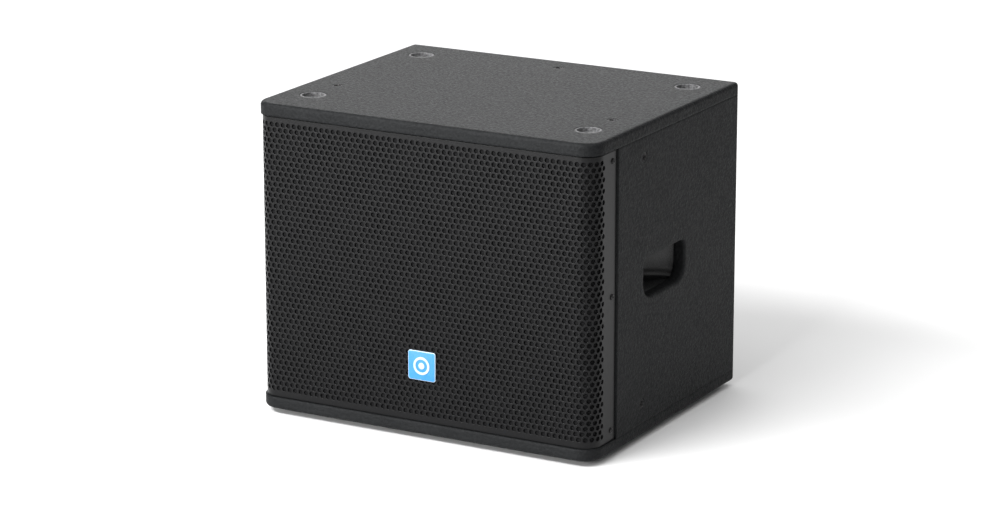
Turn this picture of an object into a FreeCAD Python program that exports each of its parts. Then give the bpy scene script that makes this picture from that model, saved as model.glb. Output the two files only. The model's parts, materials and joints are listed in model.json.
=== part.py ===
import FreeCAD, Part
import Sketcher
import math
import os
import re

# A passive 12-inch bass cabinet for live sound, in millimetres.
# +Z is up, the grille faces -Y, and the origin is on the floor under the middle of the box.

# ---------------------------------------------------------------------------
# Sizes
# ---------------------------------------------------------------------------

SIZES = [
    # the box
    ("cab_width", 460), ("cab_depth", 380), ("cab_height", 380), ("panel_thick", 15),
    ("corner_radius", 25), ("rear_radius", 6), ("edge_radius", 4.5), ("joint_depth", 3),
    ("baffle_setback", 38), ("back_recess", 5), ("fit_gap", 0.2), ("brace_thick", 18),
    ("brace_depth", 60), ("brace_gap", 5),
    # the grille, its foam and its badge
    ("grille_thick", 1.5), ("grille_setback", 3), ("grille_inset", 2), ("grille_radius", 22),
    ("grille_return", 56.5), ("grille_seam", 2.5), ("grille_gap_top", 1.5), ("grille_gap_low", 0.5),
    ("foam_thick", 5), ("foam_gap", 1), ("grille_screw_setback", 48.5), ("grille_screw_end", 28),
    ("badge_width", 37), ("badge_height", 36), ("badge_rise", 85), ("badge_thick", 1.4),
    ("badge_radius", 3), ("emblem_thick", 0.6), ("emblem_radius", 11), ("emblem_line", 3),
    ("emblem_dot", 4),
    # the pocket handles
    ("handle_setback", 180.5), ("handle_drop", 188.5), ("handle_width", 108), ("handle_height", 49),
    ("handle_radius_top", 9), ("handle_radius_low", 20), ("handle_lip", 3), ("pocket_beside", 5),
    ("pocket_depth", 45), ("pocket_wall", 2.5), ("pocket_below", 2), ("pocket_above", 20),
    ("flange_margin", 18),
    # stacking cups on top and feet below
    ("cup_inset", 43.5), ("cup_front", 66.5), ("cup_rear", 55.5), ("cup_wall", 2.25),
    ("cup_gap", 1), ("cup_depth", 5), ("cup_base", 2.4), ("foot_height", 7), ("foot_radius", 12.5),
    ("foot_taper", 1), ("foot_recess", 3.4), ("foot_recess_gap", 2),
    # flying points
    ("rig_inset", 42), ("rig_setback", 124.5), ("rig_rear_inset", 37.5), ("rig_side_rise", 39.5),
    ("sleeve_radius", 5.5), ("sleeve_bore", 4), ("bracket_thick", 4), ("bracket_length", 50),
    ("bracket_leg", 42), ("rig_screw_pitch", 36), ("plate_half", 25), ("plate_length", 39),
    # the driver: radii, and depths behind the face of the baffle
    ("basket_radius", 140.5), ("basket_wall", 3.5), ("flange_width", 14), ("flange_thick", 4),
    ("cutout_gap", 1.5), ("bolt_inset", 6), ("bolt_count", 8), ("gasket_thick", 3),
    ("shelf_radius", 92), ("shelf_depth", 64), ("neck_radius", 84), ("neck_depth", 86),
    ("ring_gap", 7.4), ("window_count", 8), ("window_half_front", 20), ("window_half_rear", 13),
    ("basket_skirt", 12), ("window_front", 16), ("gasket_gap", 0.5), ("landing_gap", 0.3),
    ("roll_gap", 3), ("roll_width", 19.5), ("roll_thick", 0.8), ("landing_thick", 0.6),
    ("landing_width", 5.5), ("rim_width", 7), ("rim_gap", 1), ("cone_depth", 50), ("cone_thick", 2),
    ("rim_thick", 1.2), ("cap_radius", 44), ("cap_rise", 12), ("cap_thick", 1.2), ("former_radius", 38),
    ("former_thick", 0.6), ("former_front", 47), ("former_rear", 104), ("coil_thick", 1),
    ("coil_front", 82), ("coil_rear", 98), ("coil_gap", 0.8), ("glue_gap", 0.05),
    ("spider_thick", 0.8), ("spider_wave", 3), ("spider_landing", 3.4),
    ("spider_gap", 0.5), ("plate_step", 2), ("pole_rise", 2),
    ("magnet_radius", 80), ("magnet_gap", 8.4), ("magnet_height", 20), ("plate_steel", 8),
    ("yoke_radius", 76), ("vent_radius", 12), ("strip_offset", 26), ("strip_half", 13),
    ("strip_drop", 8), ("slot_front", 75), ("slot_rear", 83), ("slot_half", 9), ("tongue_rise", 8),
    ("strip_margin", 2), ("strip_seat", 14), ("lead_radius", 0.8), ("lead_slack", 4), ("lead_gap", 3),
    # the ports
    ("port_radius", 37.5), ("port_wall", 3), ("port_length", 185), ("port_lip", 4.5),
    ("port_clear_side", 5), ("port_clear_low", 2),
    # the connectors and the wiring
    ("conn_rise", 95), ("conn_width", 120), ("conn_height", 90), ("conn_thick", 2),
    ("conn_margin", 11), ("conn_radius", 5), ("socket_spread", 27), ("socket_lip", 4),
    ("socket_flange_thick", 2.5), ("socket_wall", 2.5), ("socket_bore", 12.5), ("socket_core", 7),
    ("socket_depth", 30), ("socket_floor", 3), ("core_recess", 2), ("contact_recess", 3),
    ("contact_length", 12), ("contact_width", 3), ("contact_thick", 0.8),
    ("tab_length", 8), ("tab_spread", 5), ("wire_radius", 1.6), ("wire_bend", 20),
    ("wire_offset", 1), ("pad_thick", 20), ("pad_margin", 30), ("pad_gap_front", 4), ("pad_gap_rear", 2),
    # fasteners: radius of shank, radius of head, height of head, length
    ("screw_shank", 1.7), ("screw_head", 3.6), ("screw_head_height", 1.8), ("screw_length", 11),
    ("grille_screw_length", 9), ("foot_screw_length", 12), ("bolt_shank", 2.4), ("bolt_head", 4.5),
    ("bolt_head_height", 3), ("bolt_length", 24),
    ("barrel_radius", 3.3), ("tee_radius", 9), ("tee_thick", 1.5), ("tee_barrel", 9),
]

doc = FreeCAD.newDocument("pa_speaker_cabinet")
sizes = doc.addObject("Spreadsheet::Sheet", "Sizes")
for row, (alias, number) in enumerate(SIZES, start=1):
    sizes.set("A%d" % row, alias.replace("_", " "))
    sizes.set("B%d" % row, str(number))
    sizes.setAlias("B%d" % row, alias)
doc.recompute()

SIZE_NAMES = {alias for alias, number in SIZES}

# Places that several pieces share, written in those sizes.
HALF_WIDTH = "cab_width/2"
FRONT = "(-cab_depth/2)"
REAR = "(cab_depth/2)"
LOW = "foot_height"
TOP = "(foot_height + cab_height)"
MID = "(foot_height + cab_height/2)"
INNER_X = "(cab_width/2 - panel_thick)"
INNER_LOW = "(foot_height + panel_thick)"
INNER_TOP = "(foot_height + cab_height - panel_thick)"
BAFFLE = "(-cab_depth/2 + baffle_setback)"
BACK_OUT = "(cab_depth/2 - back_recess)"
BACK_IN = "(cab_depth/2 - back_recess - panel_thick)"
GRILLE_X = "(cab_width/2 - grille_inset)"
GRILLE_Y = "(-cab_depth/2 + grille_setback)"
GRILLE_END = "(-cab_depth/2 + grille_return)"
GRILLE_LOW = "(foot_height + panel_thick + grille_gap_low)"
GRILLE_TOP = "(foot_height + cab_height - panel_thick - grille_gap_top)"
REBATE_X = "(cab_width/2 - grille_inset - grille_thick)"
SIDE_FRONT = "(-cab_depth/2 + grille_setback + grille_radius + 2*foam_gap)"
SCREW_Y = "(-cab_depth/2 + grille_screw_setback)"
HANDLE_Y = "(-cab_depth/2 + handle_setback)"
HANDLE_Z = "(foot_height + cab_height - handle_drop)"
POCKET_HALF = "(handle_width/2 + pocket_beside)"
POCKET_LOW = "(foot_height + cab_height - handle_drop - handle_height/2 - pocket_below)"
POCKET_TOP = "(foot_height + cab_height - handle_drop + handle_height/2 + pocket_above)"
CUP_BORE = "(foot_radius + cup_gap)"
CUP_RADIUS = "(foot_radius + cup_gap + cup_wall)"
CUP_X = "(cab_width/2 - cup_inset)"
CUP_FRONT = "(-cab_depth/2 + cup_front)"
CUP_REAR = "(cab_depth/2 - cup_rear)"
RIG_X = "(cab_width/2 - rig_inset)"
RIG_Y = "(-cab_depth/2 + rig_setback)"
RIG_REAR = "(cab_depth/2 - rig_rear_inset)"
PORT_FLANGE = "(port_radius + port_wall + port_lip)"
PORT_X = "(cab_width/2 - panel_thick - %s - port_clear_side)" % PORT_FLANGE
PORT_Z = "(foot_height + panel_thick + %s + port_clear_low)" % PORT_FLANGE
CONN_Z = "(foot_height + conn_rise)"
CONN_FACE = "(cab_depth/2 - back_recess + conn_thick)"
SOCKET_BACK = "(cab_depth/2 - back_recess + conn_thick + socket_flange_thick - socket_depth)"
SOCKET_RADIUS = "(socket_bore + socket_wall)"
SOCKET_FLANGE = "(socket_bore + socket_wall + socket_lip)"
SLEEVE_LENGTH = "(panel_thick + bracket_thick)"
MAGNET_FRONT = "(neck_depth + plate_steel)"
MAGNET_REAR = "(neck_depth + plate_steel + magnet_height)"
YOKE_REAR = "(neck_depth + 2*plate_steel + magnet_height)"
DRIVER_RADIUS = "(basket_radius + flange_width)"
CUTOUT_RADIUS = "(basket_radius + cutout_gap)"
BOLT_CIRCLE = "(basket_radius + flange_width - bolt_inset)"
ROLL_OUTER = "(basket_radius - roll_gap)"
ROLL_INNER = "(basket_radius - roll_gap - roll_width)"
ROLL_MIDDLE = "(basket_radius - roll_gap - roll_width/2)"
CONE_RIM = "(basket_radius - roll_gap - roll_width - rim_width)"
COIL_RADIUS = "(former_radius + former_thick + coil_thick)"
RING_BORE = "(former_radius + former_thick + coil_thick + ring_gap)"
MAGNET_BORE = "(former_radius + former_thick + coil_thick + magnet_gap)"


def value(expression):
    """The number that an expression of the sizes comes to."""
    return float(sizes.evalExpression(str(expression)))


def named(expression):
    """The expression as another object of the document reads it from the sheet."""
    return re.sub(r"[a-z][a-z_]+", lambda word: "Sizes." + word.group(0)
                  if word.group(0) in SIZE_NAMES else word.group(0), str(expression))


# ---------------------------------------------------------------------------
# Tools for sketches and features
# ---------------------------------------------------------------------------

# Each view's origin plane, and the sign of its normal along the world's axis.
PLANES = {"plan": ("XY_Plane", 1), "front": ("XZ_Plane", -1), "side": ("YZ_Plane", 1)}

# Turns that point a piece's own +Z along a world axis.
FACING = {
    "+z": FreeCAD.Rotation(),
    "-z": FreeCAD.Rotation(FreeCAD.Vector(1, 0, 0), 180),
    "+x": FreeCAD.Rotation(FreeCAD.Vector(0, 1, 0), 90),
    "-x": FreeCAD.Rotation(FreeCAD.Vector(0, 1, 0), -90),
    "+y": FreeCAD.Rotation(FreeCAD.Vector(1, 0, 0), -90),
    "-y": FreeCAD.Rotation(FreeCAD.Vector(1, 0, 0), 90),
}

subparts = []


def finish(part, label):
    """Name a sub-part and add it to those that are written."""
    part.Label = label
    subparts.append(part)
    return part


def place(part, x, y, z, facing="+z"):
    """Stand a piece at a point given in the sizes, its own +Z along `facing`."""
    part.Placement = FreeCAD.Placement(FreeCAD.Vector(value(x), value(y), value(z)), FACING[facing])
    for axis, expression in zip("xyz", (x, y, z)):
        part.setExpression("Placement.Base." + axis, named(expression))


def new_body(label):
    """An empty body named as a sub-part."""
    return finish(doc.addObject("PartDesign::Body", label), label)


def fix_point(sketch, geometry, point, across, up):
    """Hold a point of the sketch at its two distances; None leaves one free."""
    for kind, axis, expression in (("DistanceX", -2, across), ("DistanceY", -1, up)):
        if expression is None:
            continue
        distance = value(expression)
        if abs(distance) < 1e-7:
            sketch.addConstraint(Sketcher.Constraint("PointOnObject", geometry, point, axis))
            continue
        index = sketch.addConstraint(Sketcher.Constraint(kind, -1, 1, geometry, point, distance))
        sketch.setExpression("Constraints[%d]" % index, named(expression))


def add_arc(sketch, start, end, centre, turn):
    """Add the arc from start to end, and return its index and the ends that they lie on."""
    angles = [math.atan2(p.y - centre.y, p.x - centre.x) for p in (start, end)]
    if turn < 0:
        angles.reverse()
    if angles[1] <= angles[0]:
        angles[1] += 2 * math.pi
    circle = Part.Circle(centre, FreeCAD.Vector(0, 0, 1), (start - centre).Length)
    index = sketch.addGeometry(Part.ArcOfCircle(circle, angles[0], angles[1]))
    return index, (1, 2) if turn > 0 else (2, 1)


def outline(sketch, corners):
    """Draw a closed outline. A corner (across, up) starts a line to the next one, and a corner
    (across, up, centre across, centre up, turn) starts an arc about that centre."""
    points = [FreeCAD.Vector(value(corner[0]), value(corner[1]), 0) for corner in corners]
    edges = []
    for corner, start, end in zip(corners, points, points[1:] + points[:1]):
        if len(corner) == 2:
            edges.append((sketch.addGeometry(Part.LineSegment(start, end)), (1, 2)))
            continue
        centre = FreeCAD.Vector(value(corner[2]), value(corner[3]), 0)
        index, ends = add_arc(sketch, start, end, centre, corner[4])
        edges.append((index, ends))
    for (index, ends), (following, next_ends) in zip(edges, edges[1:] + edges[:1]):
        sketch.addConstraint(Sketcher.Constraint("Coincident", index, ends[1], following, next_ends[0]))
    for corner, (index, ends), start, end in zip(corners, edges, points, points[1:] + points[:1]):
        fix_point(sketch, index, ends[0], corner[0], corner[1])
        if len(corner) == 2:
            continue
        upright = abs(end.y - start.y) >= abs(end.x - start.x)
        fix_point(sketch, index, 3, corner[2] if upright else None, None if upright else corner[3])


def ring(sketch, across, up, radius):
    """Draw a full circle."""
    centre = FreeCAD.Vector(value(across), value(up), 0)
    index = sketch.addGeometry(Part.Circle(centre, FreeCAD.Vector(0, 0, 1), value(radius)))
    fix_point(sketch, index, 3, across, up)
    held = sketch.addConstraint(Sketcher.Constraint("Radius", index, value(radius)))
    sketch.setExpression("Constraints[%d]" % held, named(radius))


def rounded(left, right, low, high, low_left, low_right, high_right, high_left):
    """Corners of an upright rectangle, anticlockwise, each rounded by its radius ("0" is sharp)."""
    def turned(x, y, r, x_in, y_in, first_along_y):
        if r == "0":
            return [(x, y)]
        centre = ("%s %s %s" % (x, x_in, r), "%s %s %s" % (y, y_in, r))
        ends = [(x, centre[1]), (centre[0], y)]
        if not first_along_y:
            ends.reverse()
        return [ends[0] + centre + (1,), ends[1]]
    return (turned(left, low, low_left, "+", "+", True) + turned(right, low, low_right, "-", "+", False)
            + turned(right, high, high_right, "-", "-", True)
            + turned(left, high, high_left, "+", "-", False))


def mirrored(corners, side):
    """The outline as it is on the right (side 1), or its mirror image on the left (side -1)."""
    if side > 0:
        return corners
    flipped = []
    for corner in corners:
        arc = ("-(%s)" % corner[2], corner[3], -corner[4]) if len(corner) > 2 else ()
        flipped.append(("-(%s)" % corner[0], corner[1]) + arc)
    return flipped


def new_sketch(body, view, at, outlines=(), rings=()):
    """A sketch on one of the body's own planes, moved along its axis to `at`."""
    role, sign = PLANES[view]
    sketch = body.newObject("Sketcher::SketchObject", body.Label + "_sketch")
    plane = [item for item in body.Origin.OriginFeatures if item.Role == role][0]
    sketch.AttachmentSupport = (plane, [""])
    sketch.MapMode = "FlatFace"
    sketch.setExpression("AttachmentOffset.Base.z", named("%d * (%s)" % (sign, at)))
    for corners in outlines:
        outline(sketch, corners)
    for across, up, radius in rings:
        ring(sketch, across, up, radius)
    return sketch


def pad(body, view, at, length, toward, outlines=(), rings=()):
    """Add material from a flat outline, `toward` +1 or -1 along the view's world axis."""
    sketch = new_sketch(body, view, at, outlines, rings)
    feature = body.newObject("PartDesign::Pad", body.Label + "_pad")
    feature.Profile = sketch
    feature.setExpression("Length", named(length))
    feature.Reversed = toward * PLANES[view][1] < 0
    doc.recompute()
    return feature


def pocket(body, view, at, length, toward, outlines=(), rings=()):
    """Cut a flat outline into the body, and make sure that it takes material away."""
    before = body.Shape.Volume
    sketch = new_sketch(body, view, at, outlines, rings)
    feature = body.newObject("PartDesign::Pocket", body.Label + "_pocket")
    feature.Profile = sketch
    feature.setExpression("Length", named(length))
    feature.Reversed = toward * PLANES[view][1] > 0
    doc.recompute()
    if not body.Shape.Volume < before - 1e-3:
        raise RuntimeError("a pocket of %s cuts nothing" % body.Label)
    return feature


def fillet(body, radius, wanted):
    """Round the edges of the body that `wanted` picks."""
    doc.recompute()
    edges = ["Edge%d" % i for i, edge in enumerate(body.Shape.Edges, start=1) if wanted(edge)]
    if not edges:
        raise RuntimeError("no edge to round on " + body.Label)
    base = body.Tip
    feature = body.newObject("PartDesign::Fillet", body.Label + "_fillet")
    feature.Base = (base, edges)
    feature.setExpression("Radius", named(radius))
    doc.recompute()
    return feature


def turned(label, corners, x, y, z, facing="+z"):
    """A body turned about its own axis, from corners (radius, height)."""
    body = doc.addObject("PartDesign::Body", label)
    body.Label = label
    sketch = new_sketch(body, "front", "0", [corners])
    feature = body.newObject("PartDesign::Revolution", label + "_turn")
    feature.Profile = sketch
    feature.ReferenceAxis = (sketch, ["V_Axis"])
    feature.Angle = 360
    place(body, x, y, z, facing)
    doc.recompute()
    return body


def copies(label, source, places):
    """One sub-part of like pieces: the source standing at each (x, y, z, facing)."""
    links = []
    for x, y, z, facing in places:
        link = doc.addObject("App::Link", label + "_copy")
        link.LinkedObject = source
        place(link, x, y, z, facing)
        links.append(link)
    group = doc.addObject("Part::Compound", label)
    group.Links = links
    doc.recompute()
    return finish(group, label)


def block(label, x, y, z, length, width, height):
    """A plain box from its low corner and its three lengths."""
    box = doc.addObject("Part::Box", label)
    place(box, x, y, z)
    for name, expression in (("Length", length), ("Width", width), ("Height", height)):
        box.setExpression(name, named(expression))
    return box


# A pan head's straight side as a share of its height, and its flat top as a share of its radius.
HEAD_SIDE = 0.6
HEAD_TOP = 0.7


def screw(label, shank, head, head_height, length):
    """A pattern for a pan-head screw: its head sits on z = 0 and its shank points down."""
    point = "(-(%s) + %s)" % (length, shank)
    corners = [("0", "-(%s)" % length), (shank, point), (shank, "0"), (head, "0"),
               (head, "%s*%s" % (head_height, HEAD_SIDE)), ("%s*%s" % (head, HEAD_TOP), head_height),
               ("0", head_height)]
    return turned(label, corners, "0", "0", "0")


def corners_of(x, y_front, y_rear):
    """The four places (x, y), front left first."""
    return [("-" + x, y_front), (x, y_front), ("-" + x, y_rear), (x, y_rear)]


# ---------------------------------------------------------------------------
# Where the fasteners and flying points are
# ---------------------------------------------------------------------------

CUP_PLACES = corners_of(CUP_X, CUP_FRONT, CUP_REAR)
RIG_PLACES = [("-" + RIG_X, RIG_Y), (RIG_X, RIG_Y), ("0", RIG_REAR)]
RIG_LOW = "(foot_height + rig_side_rise)"
RIG_HIGH = "(foot_height + cab_height - rig_side_rise)"
RIG_FRONT_SCREW = "(%s - rig_screw_pitch/2)" % RIG_Y
RIG_REAR_SCREW = "(%s + rig_screw_pitch/2)" % RIG_Y
RIG_PANEL_SCREWS = (corners_of(RIG_X, RIG_FRONT_SCREW, RIG_REAR_SCREW)
                    + [("-rig_screw_pitch/2", RIG_REAR), ("rig_screw_pitch/2", RIG_REAR)])
RIG_SIDE_SCREWS = [(RIG_FRONT_SCREW, RIG_LOW), (RIG_REAR_SCREW, RIG_LOW),
                   (RIG_FRONT_SCREW, RIG_HIGH), (RIG_REAR_SCREW, RIG_HIGH)]
GRILLE_SCREW_HEIGHTS = ["(foot_height + grille_screw_end)", MID,
                        "(foot_height + cab_height - grille_screw_end)"]
FLANGE_SCREWS = corners_of("(%s + flange_margin/2)" % POCKET_HALF, "(%s - flange_margin/2)" % POCKET_LOW,
                           "(%s + flange_margin/2)" % POCKET_TOP)
HANDLE_SCREWS = [("(%s + %s)" % (HANDLE_Y, y), z) for y, z in FLANGE_SCREWS]
CONN_SCREWS = corners_of("(conn_width/2 - conn_margin/2)", "(%s - conn_height/2 + conn_margin/2)" % CONN_Z,
                         "(%s + conn_height/2 - conn_margin/2)" % CONN_Z)
BOLTS = []
for turn_number in range(int(value("bolt_count"))):
    bolt_angle = "((%d + 0.5) * 360 / bolt_count)" % turn_number
    BOLTS.append(("(%s * cos(%s))" % (BOLT_CIRCLE, bolt_angle),
                  "(%s + %s * sin(%s))" % (MID, BOLT_CIRCLE, bolt_angle)))

BOLT_HOLES = [(x, "(%s - %s)" % (z, MID), "(bolt_shank + fit_gap)") for x, z in BOLTS]


# ---------------------------------------------------------------------------
# The wooden box
# ---------------------------------------------------------------------------

def panel_plan():
    """The outline of the top and bottom panels, with their large front corners."""
    return rounded("-" + HALF_WIDTH, HALF_WIDTH, FRONT, REAR,
                   "corner_radius", "corner_radius", "rear_radius", "rear_radius")


def end_panel(label, low, outer, inward):
    """The top or bottom panel: outer face at `outer`, the inside of the box lying `inward` of it."""
    body = new_body(label)
    pad(body, "plan", low, "panel_thick", 1, [panel_plan()])
    inner = "(%s + %d*panel_thick)" % (outer, inward)
    groove = rounded("-(%s + joint_depth)" % INNER_X, "(%s + joint_depth)" % INNER_X,
                     BAFFLE, "(%s + panel_thick)" % BAFFLE, "0", "0", "0", "0")
    pocket(body, "plan", inner, "joint_depth", -inward, [groove])
    sleeves = [(x, y, "sleeve_radius + fit_gap") for x, y in RIG_PLACES]
    pocket(body, "plan", outer, "panel_thick", inward, rings=sleeves)
    pilots = [(x, y, "screw_shank + fit_gap") for x, y in RIG_PANEL_SCREWS]
    pocket(body, "plan", inner, "screw_length", -inward, rings=pilots)
    return body


def face_edges(height):
    """A test for the panel's outer edges that lie in the level plane at `height`."""
    level = value(height)
    rim = value("edge_radius") + 1

    def wanted(edge):
        box = edge.BoundBox
        flat = abs(box.ZMin - level) < 1e-3 and abs(box.ZMax - level) < 1e-3
        outside = (max(abs(box.XMin), abs(box.XMax)) > value(HALF_WIDTH) - rim
                   or max(abs(box.YMin), abs(box.YMax)) > value(REAR) - rim)
        return flat and outside
    return wanted


def top_panel():
    body = end_panel("top_panel", INNER_TOP, TOP, -1)
    fillet(body, "edge_radius", face_edges(TOP))
    cups = [(x, y, CUP_RADIUS + " + fit_gap") for x, y in CUP_PLACES]
    pocket(body, "plan", TOP, "cup_depth + cup_base", -1, rings=cups)
    pilots = [(x, y, "screw_shank + fit_gap") for x, y in CUP_PLACES]
    pocket(body, "plan", TOP, "panel_thick", -1, rings=pilots)


def bottom_panel():
    body = end_panel("bottom_panel", LOW, LOW, 1)
    fillet(body, "edge_radius", face_edges(LOW))
    pilots = [(x, y, "screw_shank + fit_gap") for x, y in CUP_PLACES]
    pocket(body, "plan", LOW, "foot_screw_length", 1, rings=pilots)


def side_panel(label, side):
    """A side panel, stepped in front for the grille's return and grooved for the baffle."""
    seam = "(%s + grille_seam)" % GRILLE_END
    bend = "rear_radius"
    plan = [(INNER_X, SIDE_FRONT), (REBATE_X, SIDE_FRONT), (REBATE_X, seam), (HALF_WIDTH, seam),
            (HALF_WIDTH, "(%s - %s)" % (REAR, bend), "(%s - %s)" % (HALF_WIDTH, bend),
             "(%s - %s)" % (REAR, bend), 1),
            ("(%s - %s)" % (HALF_WIDTH, bend), REAR), (INNER_X, REAR),
            (INNER_X, "(%s + panel_thick)" % BAFFLE),
            ("(%s + joint_depth)" % INNER_X, "(%s + panel_thick)" % BAFFLE),
            ("(%s + joint_depth)" % INNER_X, BAFFLE), (INNER_X, BAFFLE)]
    body = new_body(label)
    pad(body, "plan", INNER_LOW, "cab_height - 2*panel_thick", 1, [mirrored(plan, side)])
    outer = "%d * %s" % (side, HALF_WIDTH)
    inner = "%d * %s" % (side, INNER_X)
    opening = rounded("(%s - handle_width/2)" % HANDLE_Y, "(%s + handle_width/2)" % HANDLE_Y,
                      "(%s - handle_height/2)" % HANDLE_Z, "(%s + handle_height/2)" % HANDLE_Z,
                      "handle_radius_low", "handle_radius_low", "handle_radius_top", "handle_radius_top")
    pocket(body, "side", outer, "panel_thick", -side, [opening])
    face = value(outer)
    half_opening = value("handle_width/2") + 1

    def lip(edge):
        box = edge.BoundBox
        on_face = abs(box.XMin - face) < 1e-3 and abs(box.XMax - face) < 1e-3
        near = abs(box.Center.y - value(HANDLE_Y)) < half_opening
        return on_face and near and abs(box.Center.z - value(HANDLE_Z)) < half_opening
    fillet(body, "handle_lip", lip)
    sleeves = [(RIG_Y, RIG_LOW, "sleeve_radius + fit_gap"), (RIG_Y, RIG_HIGH, "sleeve_radius + fit_gap")]
    pocket(body, "side", outer, "panel_thick", -side, rings=sleeves)
    pilots = [(y, z, "screw_shank + fit_gap") for y, z in RIG_SIDE_SCREWS + HANDLE_SCREWS]
    pocket(body, "side", inner, "screw_length", side, rings=pilots)
    grille_pilots = [(SCREW_Y, z, "screw_shank + fit_gap") for z in GRILLE_SCREW_HEIGHTS]
    pocket(body, "side", "%d * %s" % (side, REBATE_X), "grille_screw_length - grille_thick", -side,
           rings=grille_pilots)


def front_baffle():
    body = new_body("front_baffle")
    board = rounded("-(%s + joint_depth)" % INNER_X, "(%s + joint_depth)" % INNER_X,
                    "(%s - joint_depth)" % INNER_LOW, "(%s + joint_depth)" % INNER_TOP, "0", "0", "0", "0")
    pad(body, "front", BAFFLE, "panel_thick", 1, [board])
    holes = [("0", MID, CUTOUT_RADIUS)]
    holes += [(x, PORT_Z, "port_radius + port_wall + fit_gap") for x in ("-" + PORT_X, PORT_X)]
    holes += [(x, z, "barrel_radius + fit_gap") for x, z in BOLTS]
    pocket(body, "front", BAFFLE, "panel_thick", 1, rings=holes)


def back_panel():
    body = new_body("back_panel")
    board = rounded("-" + INNER_X, INNER_X, INNER_LOW, INNER_TOP, "0", "0", "0", "0")
    pad(body, "front", BACK_IN, "panel_thick", 1, [board])
    half_wide = "(conn_width/2 - conn_margin)"
    half_high = "(conn_height/2 - conn_margin)"
    window = rounded("-" + half_wide, half_wide, "(%s - %s)" % (CONN_Z, half_high),
                     "(%s + %s)" % (CONN_Z, half_high), "0", "0", "0", "0")
    pocket(body, "front", BACK_OUT, "panel_thick", -1, [window])
    pilots = [(x, z, "screw_shank + fit_gap") for x, z in CONN_SCREWS]
    pocket(body, "front", BACK_OUT, "screw_length", -1, rings=pilots)


def cross_brace():
    """An upright brace from floor to lid, behind the magnet."""
    front = "(%s + %s + brace_gap)" % (BAFFLE, YOKE_REAR)
    brace = block("cross_brace", "-brace_thick/2", front, INNER_LOW,
                  "brace_thick", "brace_depth", "cab_height - 2*panel_thick")
    finish(brace, "cross_brace")


# ---------------------------------------------------------------------------
# The grille
# ---------------------------------------------------------------------------

def bent_sheet(label, side, front, radius, end, thickness):
    """A sheet bent round both front corners: outer face at `side` and `front`, returns to `end`."""
    def bend(x, y, r):
        return "(%s - %s)" % (x, r), "(%s + %s)" % (y, r)
    centre = bend(side, front, radius)
    inner_side = "(%s - %s)" % (side, thickness)
    inner_front = "(%s + %s)" % (front, thickness)
    left = "-%s" % centre[0]
    corners = [("-" + side, end), ("-" + side, centre[1], left, centre[1], 1), (left, front),
               (centre[0], front, centre[0], centre[1], 1), (side, centre[1]), (side, end),
               (inner_side, end), (inner_side, centre[1], centre[0], centre[1], -1),
               (centre[0], inner_front), (left, inner_front, left, centre[1], -1),
               ("-" + inner_side, centre[1]), ("-" + inner_side, end)]
    body = new_body(label)
    pad(body, "plan", GRILLE_LOW, "%s - %s" % (GRILLE_TOP, GRILLE_LOW), 1, [corners])
    return body


def grille():
    body = bent_sheet("grille", GRILLE_X, GRILLE_Y, "grille_radius", GRILLE_END, "grille_thick")
    holes = [(SCREW_Y, z, "screw_shank + fit_gap") for z in GRILLE_SCREW_HEIGHTS]
    for side in (-1, 1):
        pocket(body, "side", "%d * %s" % (side, GRILLE_X), "grille_thick", -side, rings=holes)


def grille_foam():
    bent_sheet("grille_foam", REBATE_X, "(%s + grille_thick)" % GRILLE_Y,
               "(grille_radius - grille_thick)", "(%s - foam_gap)" % SIDE_FRONT, "foam_thick")


def badge():
    low = "(foot_height + badge_rise - badge_height/2)"
    plate = new_body("badge_plate")
    edge = "badge_radius"
    shape = rounded("-badge_width/2", "badge_width/2", low, "(%s + badge_height)" % low,
                    edge, edge, edge, edge)
    pad(plate, "front", GRILLE_Y, "badge_thick", -1, [shape])
    emblem = new_body("badge_emblem")
    emblem.AllowCompound = True
    middle = "(foot_height + badge_rise)"
    face = "(%s - badge_thick)" % GRILLE_Y
    rings = [("0", middle, "emblem_radius"), ("0", middle, "emblem_radius - emblem_line"),
             ("0", middle, "emblem_dot")]
    pad(emblem, "front", face, "emblem_thick", -1, rings=rings)


# ---------------------------------------------------------------------------
# Handles, cups, feet and flying points
# ---------------------------------------------------------------------------

def handle_cup(label, side):
    """A moulded pocket behind the side panel: a curved inner wall, and a flange on its mouth."""
    radius = "((%s^2 + pocket_depth^2) / (2*pocket_depth))" % POCKET_HALF
    centre = "(%s - pocket_depth + %s)" % (INNER_X, radius)
    outer_half = "sqrt((%s + pocket_wall)^2 - (%s - pocket_depth)^2)" % (radius, radius)

    def bowl(half):
        return mirrored([(INNER_X, "(%s - %s)" % (HANDLE_Y, half)),
                         (INNER_X, "(%s + %s)" % (HANDLE_Y, half), centre, HANDLE_Y, 1)], side)
    body = new_body(label)
    height = "(%s - %s)" % (POCKET_TOP, POCKET_LOW)
    pad(body, "plan", "%s - pocket_wall" % POCKET_LOW, "%s + 2*pocket_wall" % height, 1,
        [bowl(outer_half)])
    flange_half = "(%s + flange_margin)" % POCKET_HALF
    flange = rounded("(%s - %s)" % (HANDLE_Y, flange_half), "(%s + %s)" % (HANDLE_Y, flange_half),
                     "(%s - flange_margin)" % POCKET_LOW, "(%s + flange_margin)" % POCKET_TOP,
                     "pocket_wall*2", "pocket_wall*2", "pocket_wall*2", "pocket_wall*2")
    inner = "%d * %s" % (side, INNER_X)
    pad(body, "side", inner, "pocket_wall", -side, [flange])
    pocket(body, "plan", POCKET_LOW, height, 1, [bowl(POCKET_HALF)])
    holes = [(y, z, "screw_shank + fit_gap") for y, z in HANDLE_SCREWS]
    pocket(body, "side", inner, "pocket_wall", -side, rings=holes)


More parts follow.
